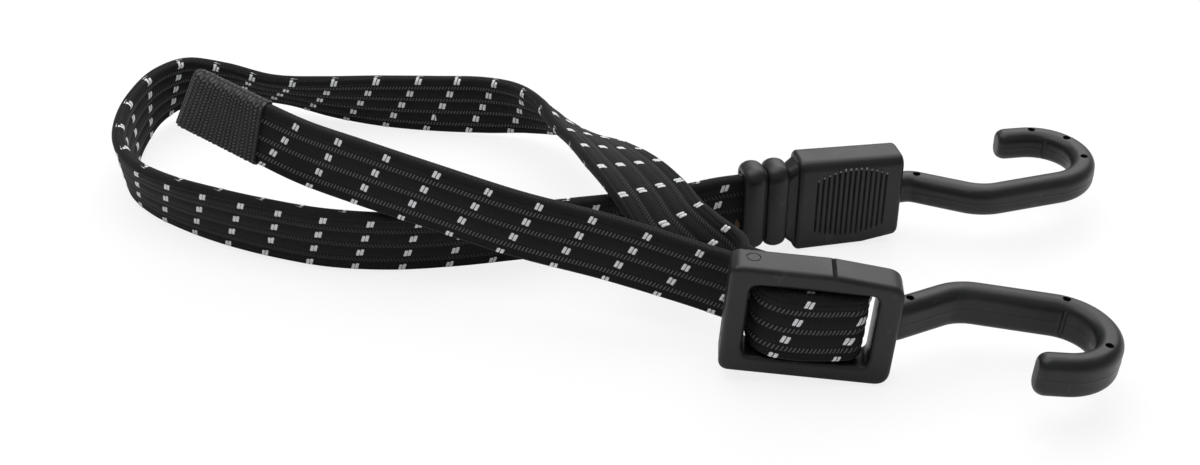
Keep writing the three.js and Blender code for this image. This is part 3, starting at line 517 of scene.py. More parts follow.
class Look:
    """A material in the making: its nodes and its main shader."""

    def __init__(self, name):
        self.material = bpy.data.materials.new(name)
        self.material.use_nodes = True
        self.tree = self.material.node_tree
        self.shader = self.tree.nodes["Principled BSDF"]

    def feed(self, socket, value):
        """Links a socket to another node's output, or sets it to a number or a colour."""
        if isinstance(value, bpy.types.NodeSocket):
            self.tree.links.new(value, socket)
        else:
            socket.default_value = (*value, 1) if isinstance(value, tuple) else value

    def set(self, values):
        for name, value in values.items():
            self.feed(self.shader.inputs[name], value)

    def node(self, kind, inputs, **settings):
        """Outputs of a new node, with its settings made and its inputs fed by name or number."""
        node = self.tree.nodes.new("ShaderNode" + kind)
        for name, value in settings.items():
            setattr(node, name, value)
        for name, value in inputs.items():
            self.feed(node.inputs[name], value)
        return node.outputs

    def math(self, operation, *values):
        return self.node("Math", dict(enumerate(values)), operation=operation)[0]

    def scaled(self, value, by, plus):
        return self.math("MULTIPLY_ADD", value, by, plus)

    def mix(self, share, first, second):
        inputs = dict(zip(MIX_COLOUR_INPUTS, (share, first, second)))
        return self.node("Mix", inputs, data_type="RGBA")[MIX_COLOUR_OUTPUT]

    def noise(self, scale, detail):
        place = self.node("TexCoord", {})["Object"]
        return self.node("TexNoise", {"Vector": place, "Scale": scale, "Detail": detail})["Fac"]

    def bump(self, height, strength, distance):
        inputs = {"Height": height, "Strength": strength, "Distance": distance}
        self.set({"Normal": self.node("Bump", inputs)["Normal"]})

    def weave(self):
        """The weave map's two values: length in millimetres, and row number or height as it is."""
        uv = self.node("UVMap", {}, uv_map="weave")["UV"]
        along, rows = self.node("SeparateXYZ", {0: uv})[:2]
        return self.math("MULTIPLY", along, UV_LENGTH / MM), rows

    def yarns(self, along, pitch):
        """Yarns side by side along the strap: 0 between them, 1 on top."""
        wave = self.math("SINE", self.math("MULTIPLY", along, 2 * math.pi / pitch))
        return self.scaled(wave, 0.5, 0.5)


def dash_share(look, along, rows):
    """Slanted grey dashes in the thin ribs, full on the back and weaker in front, where the weakening is
    painted shade.
    """
    from_middle = look.math("SUBTRACT", look.math("FRACT", rows), 0.5)
    band = look.math("LESS_THAN", look.math("ABSOLUTE", from_middle), DASH_HALF_BAND)
    slanted = look.scaled(from_middle, DASH_SLANT, look.math("DIVIDE", along, DASH_PITCH))
    wave = look.math("SINE", look.math("MULTIPLY", slanted, 2 * math.pi))
    dash = look.math("SMOOTH_MIN", look.scaled(wave, DASH_GAIN, DASH_DROP), 1.0, DASH_SOFTNESS)
    on_back = look.math("GREATER_THAN", rows, (FRONT_LABEL + BACK_LABEL) / 2)
    # Front faces keep only part of the dash colour: painted shade
    band = look.math("MULTIPLY", band, look.scaled(on_back, 1 - SHADED_FRONT_DASH_SHARE, SHADED_FRONT_DASH_SHARE))
    return look.math("MULTIPLY", look.math("MAXIMUM", dash, 0.0), band)


def webbing_material():
    look = Look("elastic_webbing")
    along, rows = look.weave()
    yarn = look.yarns(along, YARN_PITCH)
    dashes = dash_share(look, along, rows)
    patches = look.scaled(look.noise(scale=60, detail=3), 0.7, 0.45)
    base = look.mix(look.math("MULTIPLY", yarn, patches), YARN_DARK, YARN_LIGHT)
    base = look.mix(look.math("MULTIPLY", dashes, 0.8), base, DASH_GREY)
    look.set({"Base Color": base, "Roughness": 0.78, "Specular IOR Level": 0.19})
    look.set({"Sheen Weight": 0.055, "Sheen Roughness": 0.4})
    fuzz = look.math("MULTIPLY", look.noise(scale=900, detail=4), 0.5)
    relief = look.scaled(dashes, 0.8, look.scaled(yarn, 0.7, fuzz))
    look.bump(relief, strength=0.65, distance=0.00012)
    return look.material


def fleck_material():
    look = Look("fleck_yarn")
    along, _ = look.weave()
    strands = look.yarns(along, FLECK_YARN_PITCH)
    shade = look.scaled(look.noise(scale=700, detail=2), 0.5, 0.25)
    base = look.mix(look.scaled(strands, 0.45, shade), FLECK_SHADED, FLECK_WHITE)
    look.set({"Base Color": base, "Roughness": 0.55, "Sheen Weight": 0.1})
    look.bump(strands, strength=0.5, distance=0.00008)
    return look.material


def rubber_material():
    look = Look("elastic_core")
    base = look.mix(look.noise(scale=900, detail=3), RUBBER_DARK, RUBBER_LIGHT)
    look.set({"Base Color": base, "Roughness": 0.6})
    return look.material


def plastic_material(name, dark, light):
    look = Look(name)
    broad = look.noise(scale=70, detail=4)
    haze = look.scaled(broad, 2.4, -0.7)
    scuffs = look.math("GREATER_THAN", look.noise(scale=260, detail=6), SCUFF_LIMIT)
    base = look.mix(haze, dark, light)
    base = look.mix(look.math("MULTIPLY", scuffs, SCUFF_SHARE), base, SCUFF_GREY)
    roughness = look.scaled(haze, 0.1, 0.36)
    look.set({"Base Color": base, "Roughness": roughness, "Specular IOR Level": 0.34})
    fine = look.noise(scale=1500, detail=3)
    look.bump(look.scaled(broad, 0.6, fine), strength=0.3, distance=0.00005)
    return look.material


def tape_material():
    look = Look("woven_tape")
    _, height = look.weave()
    patches = look.scaled(look.noise(scale=120, detail=3), 0.8, 0.5)
    # Colour follows the weave's height: painted highlight on the crests, painted shade in the hollows
    share = look.math("MULTIPLY", look.math("POWER", height, CREST_SHARPNESS), patches)
    base = look.mix(share, TAPE_HOLLOW_SHADE, TAPE_CREST_HIGHLIGHT)
    look.set({"Base Color": base, "Roughness": 0.7, "Specular IOR Level": 0.3, "Sheen Weight": 0.05})
    look.bump(look.noise(scale=1300, detail=4), strength=0.5, distance=0.0001)
    return look.material


def steel_material():
    look = Look("drawn_wire")
    streaks = look.noise(scale=420, detail=5)
    base = look.mix(streaks, STEEL_DARK, STEEL_LIGHT)
    look.set({"Base Color": base, "Metallic": 1.0, "Roughness": look.scaled(streaks, 0.25, 0.22)})
    look.bump(streaks, strength=0.2, distance=0.00005)
    return look.material


WEBBING = webbing_material()
FLECK = fleck_material()
RUBBER = rubber_material()
PLASTIC = plastic_material("moulded_plastic", PLASTIC_DARK, PLASTIC_LIGHT)
# Lighter plastic for the grip lips: painted highlight
LIP_HIGHLIGHT_PLASTIC = plastic_material("painted_lip_highlight", LIP_HIGHLIGHT_DARK, LIP_HIGHLIGHT_LIGHT)
TAPE = tape_material()
STEEL = steel_material()

# Strap pieces. Flecks by face: first column, pitch and lean across the width, in metres. Where the
# columns stand closer before a place, that place and the share follow

FIXED_FLECKS = {1: (0.1243, 0.0132, 0.0074, (0.0847, 0.917)), -1: (0.1325, 0.0125, -0.0055)}
LOOP_FLECKS = {1: (0.0305, 0.0123, 0.0091), -1: (0.1623, 0.0134, (-0.0055, -0.0140))}
RETURN_FLECKS = {1: (0.1082, 0.0137, 0.0048), -1: (0.0088, 0.0134, -0.0130)}
WRAP_FLECKS = {1: (0.0060, 0.0157, 0.0070), -1: (0.0494, 0.0157, -0.0078)}
TAIL_FLECKS = {1: (0.0060, 0.0148, 0.0070), -1: (0.1389, 0.0148, -0.0108)}

fixed_webbing = webbing(
    "fixed_run_webbing", fixed_strand, LOOP_BACK_ROWS, FIXED_FLECKS, closed=(True, False), bare_elastic=True
)
loop_webbing = webbing("loop_webbing", loop_strand, LOOP_BACK_ROWS, LOOP_FLECKS, closed=(False, False))
return_webbing = webbing(
    "return_run_webbing", return_strand, LOOP_BACK_ROWS, RETURN_FLECKS, closed=(False, True)
)
wrap_webbing = webbing("bar_wrap_webbing", wrap_strand(), TAIL_BACK_ROWS, WRAP_FLECKS)
tail_webbing = webbing("tail_webbing", tail_strand, TAIL_BACK_ROWS, TAIL_FLECKS)

# Solids through rings of points, and cuts

SHARP_CUTTER, SHARP_BODY, SHARP_HOOK, SHARP_TAPE = 30, 38, 40, 75


def loft(name, rings, material, place=None, flat_ends=True, sharp=SHARP_CUTTER, uvs=None):
    """A closed solid through rings of points: flat ends, or the last ring joined to the first.

    Shading breaks at edges over the sharp angle. A place takes the rings from millimetres to the frame.
    """
    stations, count = rings.shape[:2]
    verts = rings.reshape(-1, 3)
    if place is not None:
        turn, shift = np.array(place.to_3x3()), np.array(place.translation)
        verts = verts * MM @ turn.T + shift
    faces = ring_faces(stations, count, joined=not flat_ends)
    if flat_ends:
        faces.append(tuple(range(count - 1, -1, -1)))
        faces.append(tuple(range((stations - 1) * count, stations * count)))
    piece = mesh_object(name, verts, faces, uvs, (material,))
    solid = bmesh.new()
    solid.from_mesh(piece.data)
    bmesh.ops.recalc_face_normals(solid, faces=solid.faces)
    solid.to_mesh(piece.data)
    solid.free()
    piece.data.set_sharp_from_angle(angle=math.radians(sharp))
    return piece


def cut(piece, cutters, sharp):
    """Takes the cutters out of a piece and throws them away."""
    for cutter in cutters:
        modifier = piece.modifiers.new("cut", "BOOLEAN")
        modifier.operation = "DIFFERENCE"
        modifier.object = cutter
    scene = bpy.context.evaluated_depsgraph_get()
    data = bpy.data.meshes.new_from_object(piece.evaluated_get(scene))
    piece.modifiers.clear()
    piece.data = data
    for cutter in cutters:
        bpy.data.objects.remove(cutter)
    data.set_sharp_from_angle(angle=math.radians(sharp))


# Woven tape folded over the tail's end. Millimetres

TAB_LENGTH, TAB_WIDTH, TAB_THICKNESS, TAB_REACH, TAB_LEAD = 24.7, 20.8, 0.8, 2.4, 0.6
TAB_PINCH_RUN, TAB_PINCHED = 2.0, 0.06
TAPE_COLUMN, TAPE_KNOT, TAPE_RELIEF = 1.35, 1.15, 0.56
TAPE_LEAN, TAPE_SHIFT, TAPE_LOW, TAPE_FULLNESS, TAPE_EDGE = 0.75, 0.25, 0.25, 0.7, 0.6
TAPE_STEP, TAPE_BEND_STEPS, TAPE_ACROSS_COUNT, TAPE_CROWDING = 0.22, 36, 110, 1.25
TAIL_EXTRA = np.linspace(0.0005, 0.006, 12)[:, None]


def tape_path():
    """Middle of the folded tape as lengths past the strap's end and heights over its middle plane."""
    flat = np.arange(-TAB_LENGTH, TAB_LEAD, TAPE_STEP)
    level = np.full(len(flat), TAB_REACH)
    bend = np.radians(np.linspace(-90, 90, TAPE_BEND_STEPS))
    past = np.concatenate([flat, TAB_LEAD + TAB_REACH * np.cos(bend), flat[::-1]])
    over = np.concatenate([-level, TAB_REACH * np.sin(bend), level])
    return np.stack([past, over], 1)


def tape_relief(along, across):
    """Rise of the weave: columns of slanted knots that lean the other way in every second column."""
    column = np.floor(along / TAPE_COLUMN)
    u = along / TAPE_COLUMN - column - 0.5
    lean = np.where(column % 2 < 1, TAPE_LEAN, -TAPE_LEAN)
    knot = np.cos(np.pi * (across / TAPE_KNOT + lean * u + TAPE_SHIFT * column)) ** 2
    knot = TAPE_LOW + (1 - TAPE_LOW) * knot
    return TAPE_RELIEF * np.cos(np.pi * u) ** TAPE_FULLNESS * knot - 0.5 * TAPE_RELIEF


def tail_end_strand():
    """The last of the tail, drawn on past its end for the tape that goes round it."""
    beyond = tail_strand.middles[-1] + TAIL_EXTRA * tail_strand.tangents[-1]
    middles = np.vstack([tail_strand.middles, beyond])
    widths = np.vstack([tail_strand.widths, np.tile(tail_strand.widths[-1], (len(beyond), 1))])
    strand = Strand(middles, widths)
    strand.shear = TAIL_END_SHEAR
    strand.shear_end = tail_strand.length
    return strand


def tape_pinch(across):
    """Share of the fold's height left at each place across the tape: its open edges are pressed flat."""
    inward = np.clip((TAB_WIDTH / 2 - np.abs(across)) / TAB_PINCH_RUN, 0, 1)
    return TAB_PINCHED + (1 - TAB_PINCHED) * np.sqrt(1 - (1 - inward) ** 2)


def tape_tab():
    """Rings of the folded tape, and the height of its weave as a map for painted highlight on the crests and
    painted shade in the hollows.
    """
    path = tape_path()
    along = lengths_along(path)
    tangents = np.gradient(path, along, axis=0)
    outward = np.stack([tangents[:, 1], -tangents[:, 0]], 1)
    spread = np.sin(np.linspace(-1, 1, TAPE_ACROSS_COUNT) * TAPE_CROWDING)
    across = TAB_WIDTH / 2 * spread / math.sin(TAPE_CROWDING)
    relief = tape_relief(along[:, None], across[None, :])
    edge = np.clip((TAB_WIDTH / 2 - np.abs(across)) / TAPE_EDGE, 0, 1)[None, :]
    outer = TAB_THICKNESS / 2 * np.sqrt(1 - (1 - edge) ** 2) + relief * edge
    inner = np.full_like(outer, -TAB_THICKNESS / 2)
    strand = tail_end_strand()
    sheets = []
    for rise in (outer, inner):
        flat = path[:, None, :] + outward[:, None, :] * rise[..., None]
        s = tail_strand.length + flat[..., 0] * MM
        over = flat[..., 1] * tape_pinch(across) * MM
        sheets.append(strand.place(s, np.tile(across, (len(path), 1)) * MM, over))
    rings = np.concatenate([sheets[0], sheets[1][:, ::-1]], 1)
    # The inner sheet takes the hollow colour throughout: painted shade
    tone = np.concatenate([relief / TAPE_RELIEF + 0.5, np.zeros_like(relief)], 1)
    return rings, np.stack([tone.ravel(), tone.ravel()], 1)


# The weave's height map drives the tape's painted highlight and shade
tab_rings, tab_light_and_shade = tape_tab()
tab = loft("tab_tape", tab_rings, TAPE, sharp=SHARP_TAPE, uvs=tab_light_and_shade)

# Sections and hooks. Millimetres

HOOK_WIDTH, HOOK_CORNER, HOOK_JOG, HOOK_JOG_ANGLE = 6.9, 3.0, 11.5, 34.5
HOOK_ROOT_BEND, HOOK_SHANK_BEND, HOOK_SHANK_ANGLE, HOOK_REACH = 6, 14, 5, 43.7
HOOK_BEND_RADIUS, HOOK_BEND_TURN, HOOK_TIP = 13.1, 171, 8
HOOK_TIP_ROUND, HOOK_TIP_FLAT, HOOK_TIP_LEVEL = 3, 0.45, 0.35
HOOK_SECTION_STEPS, HOOK_TIP_TURNS = (4, 26, 12), np.radians(np.linspace(9, 90, 10))
WALK_STEP, WALK_TURN = 0.8, 2.5
PARTING_RISE, PARTING_WIDTH = 0.07, 0.22
PIN_POINTS, LOCATOR_RADIUS, LOCATOR_DEPTH = 28, 1.1, 1.3
SLOT_RADIUS, SLOT_PROUD, SLOT_MARGIN = 0.7, 0.25, 1.6
SMALLEST_TURN, ON_SIDE, CUTTER_CLEAR = 0.01, 0.01, 1


def rounded_section(half_width, half_height, corner, width_steps, height_steps, corner_steps):
    """A rectangle with round corners, as points in order, the sides divided evenly."""
    x, y = half_width - corner, half_height - corner
    middles = ((x, -y, -90), (x, y, 0), (-x, y, 90), (-x, -y, 180))
    arcs = []
    for mx, my, start in middles:
        turn = np.radians(np.linspace(start, start + 90, corner_steps + 1))
        arcs.append(np.stack([mx + corner * np.cos(turn), my + corner * np.sin(turn)], 1))
    points = []
    for k, steps in enumerate((height_steps, width_steps, height_steps, width_steps)):
        after = arcs[(k + 1) % 4][0]
        share = np.linspace(0, 1, steps + 1)[1:-1, None]
        points += [arcs[k], arcs[k][-1] + (after - arcs[k][-1]) * share]
    return np.concatenate(points)


def walk(moves):
    """Points x, y and heading along straights (length, 0) and turns (radius, degrees)."""
    x, y, heading = 0.0, 0.0, 0.0
    points = [(x, y, heading)]
    for size, turn in moves:
        if turn == 0:
            steps = max(int(size / WALK_STEP), 1)
            for _ in range(steps):
                x += size / steps * math.cos(heading)
                y += size / steps * math.sin(heading)
                points.append((x, y, heading))
            continue
        steps = max(int(abs(turn) / WALK_TURN), 2)
        side = math.copysign(1, turn)
        step = math.radians(turn) / steps
        for _ in range(steps):
            mx, my = x - side * size * math.sin(heading), y + side * size * math.cos(heading)
            heading += step
            x, y = mx + side * size * math.sin(heading), my - side * size * math.cos(heading)
            points.append((x, y, heading))
    return np.array(points)


def hook_moves(root):
    """Straights and turns of a hook's line, from the root to where its tip is rounded."""
    angle = math.radians(HOOK_JOG_ANGLE)
    bends = HOOK_ROOT_BEND + HOOK_SHANK_BEND
    jog = (HOOK_JOG - bends * (1 - math.cos(angle))) / math.sin(angle)
    jog_reach = bends * math.sin(angle) + jog * math.cos(angle)
    lift = math.radians(HOOK_SHANK_ANGLE)
    shank = (HOOK_REACH - jog_reach) / math.cos(lift) - HOOK_SHANK_BEND * math.tan(lift)
    return [
        (root, 0),
        (HOOK_ROOT_BEND, -HOOK_JOG_ANGLE),
        (jog, 0),
        (HOOK_SHANK_BEND, HOOK_JOG_ANGLE + HOOK_SHANK_ANGLE),
        (shank, 0),
        (HOOK_BEND_RADIUS, HOOK_BEND_TURN),
        (HOOK_TIP - HOOK_TIP_ROUND, 0),
    ]


def hook_line(root, side):
    line = walk(hook_moves(root))
    line[:, 0] -= root
    line[:, 1:] *= side
    return line


def hook_rings(line, height):
    """Rings of the hook's skin: round-cornered section with a parting line, and a rounded tip."""
    section = rounded_section(HOOK_WIDTH / 2, height / 2, HOOK_CORNER, *HOOK_SECTION_STEPS)
    u, v = section[:, 0], section[:, 1]
    on_side = np.abs(u) > HOOK_WIDTH / 2 - ON_SIDE
    u = u + np.sign(u) * on_side * PARTING_RISE * np.exp(-((v / PARTING_WIDTH) ** 2))
    rings = []
    for x, y, heading in line:
        rings.append(np.stack([x - u * math.sin(heading), y + u * math.cos(heading), v], 1))
    x, y, heading = line[-1]
    for turn in HOOK_TIP_TURNS:
        on = HOOK_TIP_ROUND * math.sin(turn)
        size = HOOK_TIP_FLAT + (1 - HOOK_TIP_FLAT) * math.cos(turn)
        ring_x = x + on * math.cos(heading) - u * size * math.sin(heading)
        ring_y = y + on * math.sin(heading) + u * size * math.cos(heading)
        rings.append(np.stack([ring_x, ring_y, v * (HOOK_TIP_LEVEL + (1 - HOOK_TIP_LEVEL) * size)], 1))
    return np.array(rings)


def on_bend(root, side, angle):
    """Place and heading on the hook's line at an angle of its bend."""
    *to_bend, _, _ = hook_moves(root)
    x, y, heading = walk([*to_bend, (HOOK_BEND_RADIUS, max(angle, SMALLEST_TURN))])[-1]
    return x - root, y * side, heading * side


def pin(x, y, low, high, radius, place):
    """A round cutter standing on end."""
    turn = np.linspace(0, 2 * math.pi, PIN_POINTS, endpoint=False)
    ring = np.stack([x + radius * np.cos(turn), y + radius * np.sin(turn)], 1)
    rings = np.array([np.column_stack([ring, np.full(PIN_POINTS, z)]) for z in (low, high)])
    return loft("cutter", rings, PLASTIC, place)


def hook(name, root, side, height, place, holes):
    """A hook with its locating holes in the upper edge and one upright slot inside its bend.

    The holes are given as a length from the root and angles of the bend, and the slot as one more angle.
    """
    from_root, angles, slot_angle = holes
    line = hook_line(root, side)
    piece = loft(name, hook_rings(line, height), PLASTIC, place, sharp=SHARP_HOOK)
    near = line[np.argmin(np.abs(lengths_along(line[:, :2]) - root - from_root))]
    spots = [near[:2]] + [on_bend(root, side, angle)[:2] for angle in angles]
    top = height / 2
    cutters = [pin(x, y, top - LOCATOR_DEPTH, top + CUTTER_CLEAR, LOCATOR_RADIUS, place) for x, y in spots]
    x, y, heading = on_bend(root, side, slot_angle)
    inside = HOOK_WIDTH / 2 + SLOT_PROUD
    sx, sy = x - side * inside * math.sin(heading), y + side * inside * math.cos(heading)
    cutters.append(pin(sx, sy, SLOT_MARGIN - top, top - SLOT_MARGIN, SLOT_RADIUS, place))
    cut(piece, cutters, SHARP_HOOK)
    return piece


# Fixed end: hook, and housing with collar, grip grooves and strap mouth. Millimetres

HOUSING_START, HOUSING_END, HOUSING_HEIGHT, HOUSING_HEIGHT_AT_HOOK = -16.5, 14.5, 29.4, 28.1
HOUSING_DEPTH, HOUSING_CORNER, HOUSING_ROUND, FOOT_END, FOOT_RISE = 10.8, 2.8, 1.4, 4, 1.6
MOUTH, AXIS_HEIGHT = COLLAR_MOUTH / MM, FIXED_AXIS_HEIGHT / MM
COLLAR_HEIGHT, COLLAR_DEPTH, COLLAR_CORNER = 22.8, 7.6, 3
RING_COUNT, RING_PITCH, RING_WIDTH, RING_RISE = 2, 6.6, 6.3, 1.7
GRIP_COUNT, GRIP_PITCH, GRIP_MIDDLE, GRIP_HALF_WIDTH, GRIP_DEPTH = 14, 1.55, -0.9, 0.3, 0.45
GRIP_TOP, GRIP_ARCH, GRIP_BOTTOM, GRIP_BOTTOM_ARCH, GRIP_HALF_SPAN = 26, 3, 4.2, 2.4, 10.85
GRIP_RUNOUT, LIP_RISE, LIP_ABOVE, LIP_HALF = 0.55, 0.4, 0.25, 0.26
THROAT_HALF_DEPTH, THROAT_HALF_HEIGHT, THROAT_CORNER, THROAT_END, THROAT_FLARE = 2.3, 10.4, 0.6, -21, 0.3
HOUSING_SECTION_STEPS, RING_STEPS, RAMP_SHARES, END_STEPS = (8, 112, 8), 25, np.linspace(0.1, 0.9, 9), 8
RING_CORNER_SHARE, END_CORNER_SHARE, GROOVE_STEPS = 0.5, 0.4, 12
GROOVE_FULLNESS, ON_FACE, NEAR_FACE, STATION_SLACK = 0.8, 0.05, 0.3, 0.01


def housing_section(low, high, depth, corner):
    section = rounded_section(depth / 2, (high - low) / 2, corner, *HOUSING_SECTION_STEPS)
    return np.column_stack([section[:, 0], section[:, 1] + (high + low) / 2])


def collar_section(rise):
    half = COLLAR_HEIGHT / 2 + rise
    depth = COLLAR_DEPTH + 2 * rise
    corner = COLLAR_CORNER + rise * RING_CORNER_SHARE
    return housing_section(AXIS_HEIGHT - half, AXIS_HEIGHT + half, depth, corner)


def body_section(x):
    share = (x - HOUSING_START) / (HOUSING_END - HOUSING_START)
    high = HOUSING_HEIGHT + (HOUSING_HEIGHT_AT_HOOK - HOUSING_HEIGHT) * share
    low = FOOT_RISE * max(0, (x - FOOT_END) / (HOUSING_END - FOOT_END))
    near_end = max(0, HOUSING_ROUND - min(x - HOUSING_START, HOUSING_END - x))
    inset = HOUSING_ROUND - math.sqrt(max(HOUSING_ROUND**2 - near_end**2, 0))
    corner = HOUSING_CORNER - END_CORNER_SHARE * inset
    return grip(x, housing_section(low + inset, high - inset, HOUSING_DEPTH - 2 * inset, corner))


def groove_at(x):
    """Middle, top and bottom of the grip groove nearest to x, or nothing past the outer grooves."""
    number = round((x - GRIP_MIDDLE) / GRIP_PITCH + (GRIP_COUNT - 1) / 2)
    if not 0 <= number < GRIP_COUNT:
        return None
    middle = GRIP_MIDDLE + (number - (GRIP_COUNT - 1) / 2) * GRIP_PITCH
    outness = ((middle - GRIP_MIDDLE) / GRIP_HALF_SPAN) ** 2
    return middle, GRIP_TOP - GRIP_ARCH * outness, GRIP_BOTTOM + GRIP_BOTTOM_ARCH * outness


def grip(x, section):
    """Sinks the grip grooves into the front and back faces, with a small lip over each groove's top."""
    groove = groove_at(x)
    if groove is None:
        return section
    middle, top, bottom = groove
    y, z = section[:, 0], section[:, 1]
    over = math.cos(math.pi / 2 * min(abs(x - middle) / GRIP_HALF_WIDTH, 1)) ** GROOVE_FULLNESS
    inside = np.clip((top - z) / GRIP_RUNOUT, 0, 1) * np.clip((z - bottom) / GRIP_RUNOUT, 0, 1)
    lip = np.exp(-(((z - top - LIP_ABOVE) / LIP_HALF) ** 2))
    on_face = np.abs(y) > HOUSING_DEPTH / 2 - ON_FACE
    sunk = on_face * over * (GRIP_DEPTH * inside - LIP_RISE * lip)
    return np.column_stack([y - np.sign(y) * sunk, z])


def paint_lip_highlights(piece):
    """Gives the lips over the grooves a lighter plastic: a painted highlight where light catches their tops.
    """
    piece.data.materials.append(LIP_HIGHLIGHT_PLASTIC)
    to_housing = fixed_end.inverted()
    for face in piece.data.polygons:
        x, y, z = to_housing @ face.center / MM
        groove = groove_at(x)
        if groove is None or abs(y) < HOUSING_DEPTH / 2 - NEAR_FACE:
            continue
        if abs(x - groove[0]) < GRIP_HALF_WIDTH and abs(z - groove[1] - LIP_ABOVE) < LIP_HALF:
            face.material_index = 1


def housing_rings():
    """Rings from the throat out through the mouth, over the collar's rings and along the body."""
    stations = []
    for k in range(RING_COUNT):
        middle = MOUTH + k * RING_PITCH + RING_WIDTH / 2
        for turn in np.radians(np.linspace(-90, 90, RING_STEPS)):
            section = collar_section(RING_RISE * math.cos(turn))
            stations.append((middle + RING_WIDTH / 2 * math.sin(turn), section))
    ramp_start, ramp_foot = stations[-1]
    ramp_head = body_section(HOUSING_START)
    for share in RAMP_SHARES:
        section = ramp_foot + (ramp_head - ramp_foot) * share
        stations.append((ramp_start + (HOUSING_START - ramp_start) * share, section))
    ends = HOUSING_ROUND * (1 - np.cos(np.radians(np.linspace(0, 90, END_STEPS))))
    last = HOUSING_END - HOUSING_ROUND + STATION_SLACK
    inner = np.arange(HOUSING_START + HOUSING_ROUND, last, GRIP_PITCH / GROOVE_STEPS)
    for x in np.concatenate([HOUSING_START + ends[:-1], inner, HOUSING_END - ends[::-1]]):
        stations.append((x, body_section(x)))
    throat = rounded_section(THROAT_HALF_DEPTH, THROAT_HALF_HEIGHT, THROAT_CORNER, *HOUSING_SECTION_STEPS)
    throat[:, 1] += AXIS_HEIGHT
    flare = throat + THROAT_FLARE * np.sign(throat - [0, AXIS_HEIGHT])
    stations = [(THROAT_END, throat), (MOUTH + THROAT_FLARE, throat), (MOUTH, flare), *stations]
    return np.array([np.column_stack([np.full(len(section), x), section]) for x, section in stations])


FIXED_HOOK_PLACE, FIXED_HOOK_ROOT, FIXED_HOOK_HEIGHT = 17.0, 6.2, 9
FIXED_HOLES = (3.4, (62, 112, 160), 138)
fixed_hook_place = fixed_end @ Matrix.Translation((FIXED_HOOK_PLACE * MM, 0, AXIS_HEIGHT * MM))
housing = loft("housing_moulding", housing_rings(), PLASTIC, fixed_end, sharp=SHARP_BODY)
# The lips over the grip grooves get a painted highlight
paint_lip_highlights(housing)
fixed_hook = hook(
    "fixed_hook_moulding", FIXED_HOOK_ROOT, 1, FIXED_HOOK_HEIGHT, fixed_hook_place, FIXED_HOLES
)

# Adjuster: frame with window, crossbar and hook. Millimetres

FRAME_START, FRAME_END, FRAME_HALF_HEIGHT, FRAME_TOP_AT_HOOK, TAPER_AT = -22.1, 22.1, 16, 14.2, 3.9
FRAME_DEPTH, FRAME_ROUND, FRAME_CORNER, FRAME_HOOK_CORNER = 10, 1.5, 3, 4.2
WINDOW_START, WINDOW_END, WINDOW_HALF_HEIGHT, WINDOW_CORNER = -16.5, 16.0, 10.75, 2.5
CROSSBAR_PLACE, CROSSBAR_SIZE, CROSSBAR_ROUND, CROSSBAR_OVERLAP = (6.5, 1.1), (8, 4), 1.9, 1.5
CROSSBAR_SECTION_STEPS = (10, 4, 10)
FRAME_SIDE_COUNTS, FRAME_CORNER_COUNT, FRAME_ROUND_STEPS = (40, 20, 16, 23, 20), 12, 9
NOTCH_DEPTH, NOTCH_HALF = 0.8, 0.55
EJECTOR_PLACE, EJECTOR_RADIUS, EJECTOR_GROOVE, EJECTOR_POINTS = (-16.4, 0.7), 1.9, 0.28, 40
ADJUSTER_HOOK_PLACE, ADJUSTER_HOOK_RISE = 19.1, 1.7
ADJUSTER_HOOK_ROOT, ADJUSTER_HOOK_HEIGHT = 2.2, 11.4
ADJUSTER_HOLES = (5.7, (12, 116), 15)


def outline(corners):
    """A closed outline from corners (x, z, corner length before and after)."""
    points = []
    count = len(corners)
    for k, (x, z, cut_length) in enumerate(corners):
        here = np.array([x, z], float)
        before, after = (np.array(corners[(k + d) % count][:2], float) for d in (-1, 1))
        start = here + (before - here) / np.linalg.norm(before - here) * cut_length
        end = here + (after - here) / np.linalg.norm(after - here) * cut_length
        if cut_length:
            share = np.linspace(0, 1, FRAME_CORNER_COUNT + 1)[:, None]
            points.append((1 - share) ** 2 * start + 2 * share * (1 - share) * here + share**2 * end)
        else:
            points.append(here[None, :])
        next_cut = corners[(k + 1) % count][2]
        finish = after + (here - after) / np.linalg.norm(here - after) * next_cut
        share = np.linspace(0, 1, FRAME_SIDE_COUNTS[k] + 1)[1:-1, None]
        points.append(end + (finish - end) * share)
    return np.concatenate(points)


def outward_normals(points):
    tangents = unit(np.roll(points, -1, 0) - np.roll(points, 1, 0))
    return np.stack([tangents[:, 1], -tangents[:, 0]], 1)


def frame_outline(start, end, half_height, top_at_end, corner, end_corner):
    """An outline whose upper side falls from the taper's start to the hook end."""
    return outline(
        [
            (start, -half_height, corner),
            (end, -half_height, end_corner),
            (end, top_at_end, end_corner),
            (TAPER_AT, half_height, 0),
            (start, half_height, corner),
        ]
    )


def frame_rings():
    """Rings round the frame's section: outer side, front face, window side and back face."""
    outer = frame_outline(
        FRAME_START, FRAME_END, FRAME_HALF_HEIGHT, FRAME_TOP_AT_HOOK, FRAME_CORNER, FRAME_HOOK_CORNER
    )
    window = frame_outline(
        WINDOW_START, WINDOW_END, WINDOW_HALF_HEIGHT, WINDOW_HALF_HEIGHT, WINDOW_CORNER, WINDOW_CORNER
    )
    straight = FRAME_DEPTH / 2 - FRAME_ROUND
    rounds = ((outer, -1, 90, 0), (outer, -1, 0, -90), (window, 1, -90, 0), (window, 1, 0, 90))
    rings = []
    for points, sign, first, last in rounds:
        normals = outward_normals(points)
        for turn in np.radians(np.linspace(first, last, FRAME_ROUND_STEPS)):
            inset = FRAME_ROUND * (1 - math.cos(turn))
            depth = math.copysign(straight, first + last) + FRAME_ROUND * math.sin(turn)
            flat = points + sign * normals * inset
            rings.append(np.column_stack([flat[:, 0], np.full(len(flat), depth), flat[:, 1]]))
    return np.array(rings)


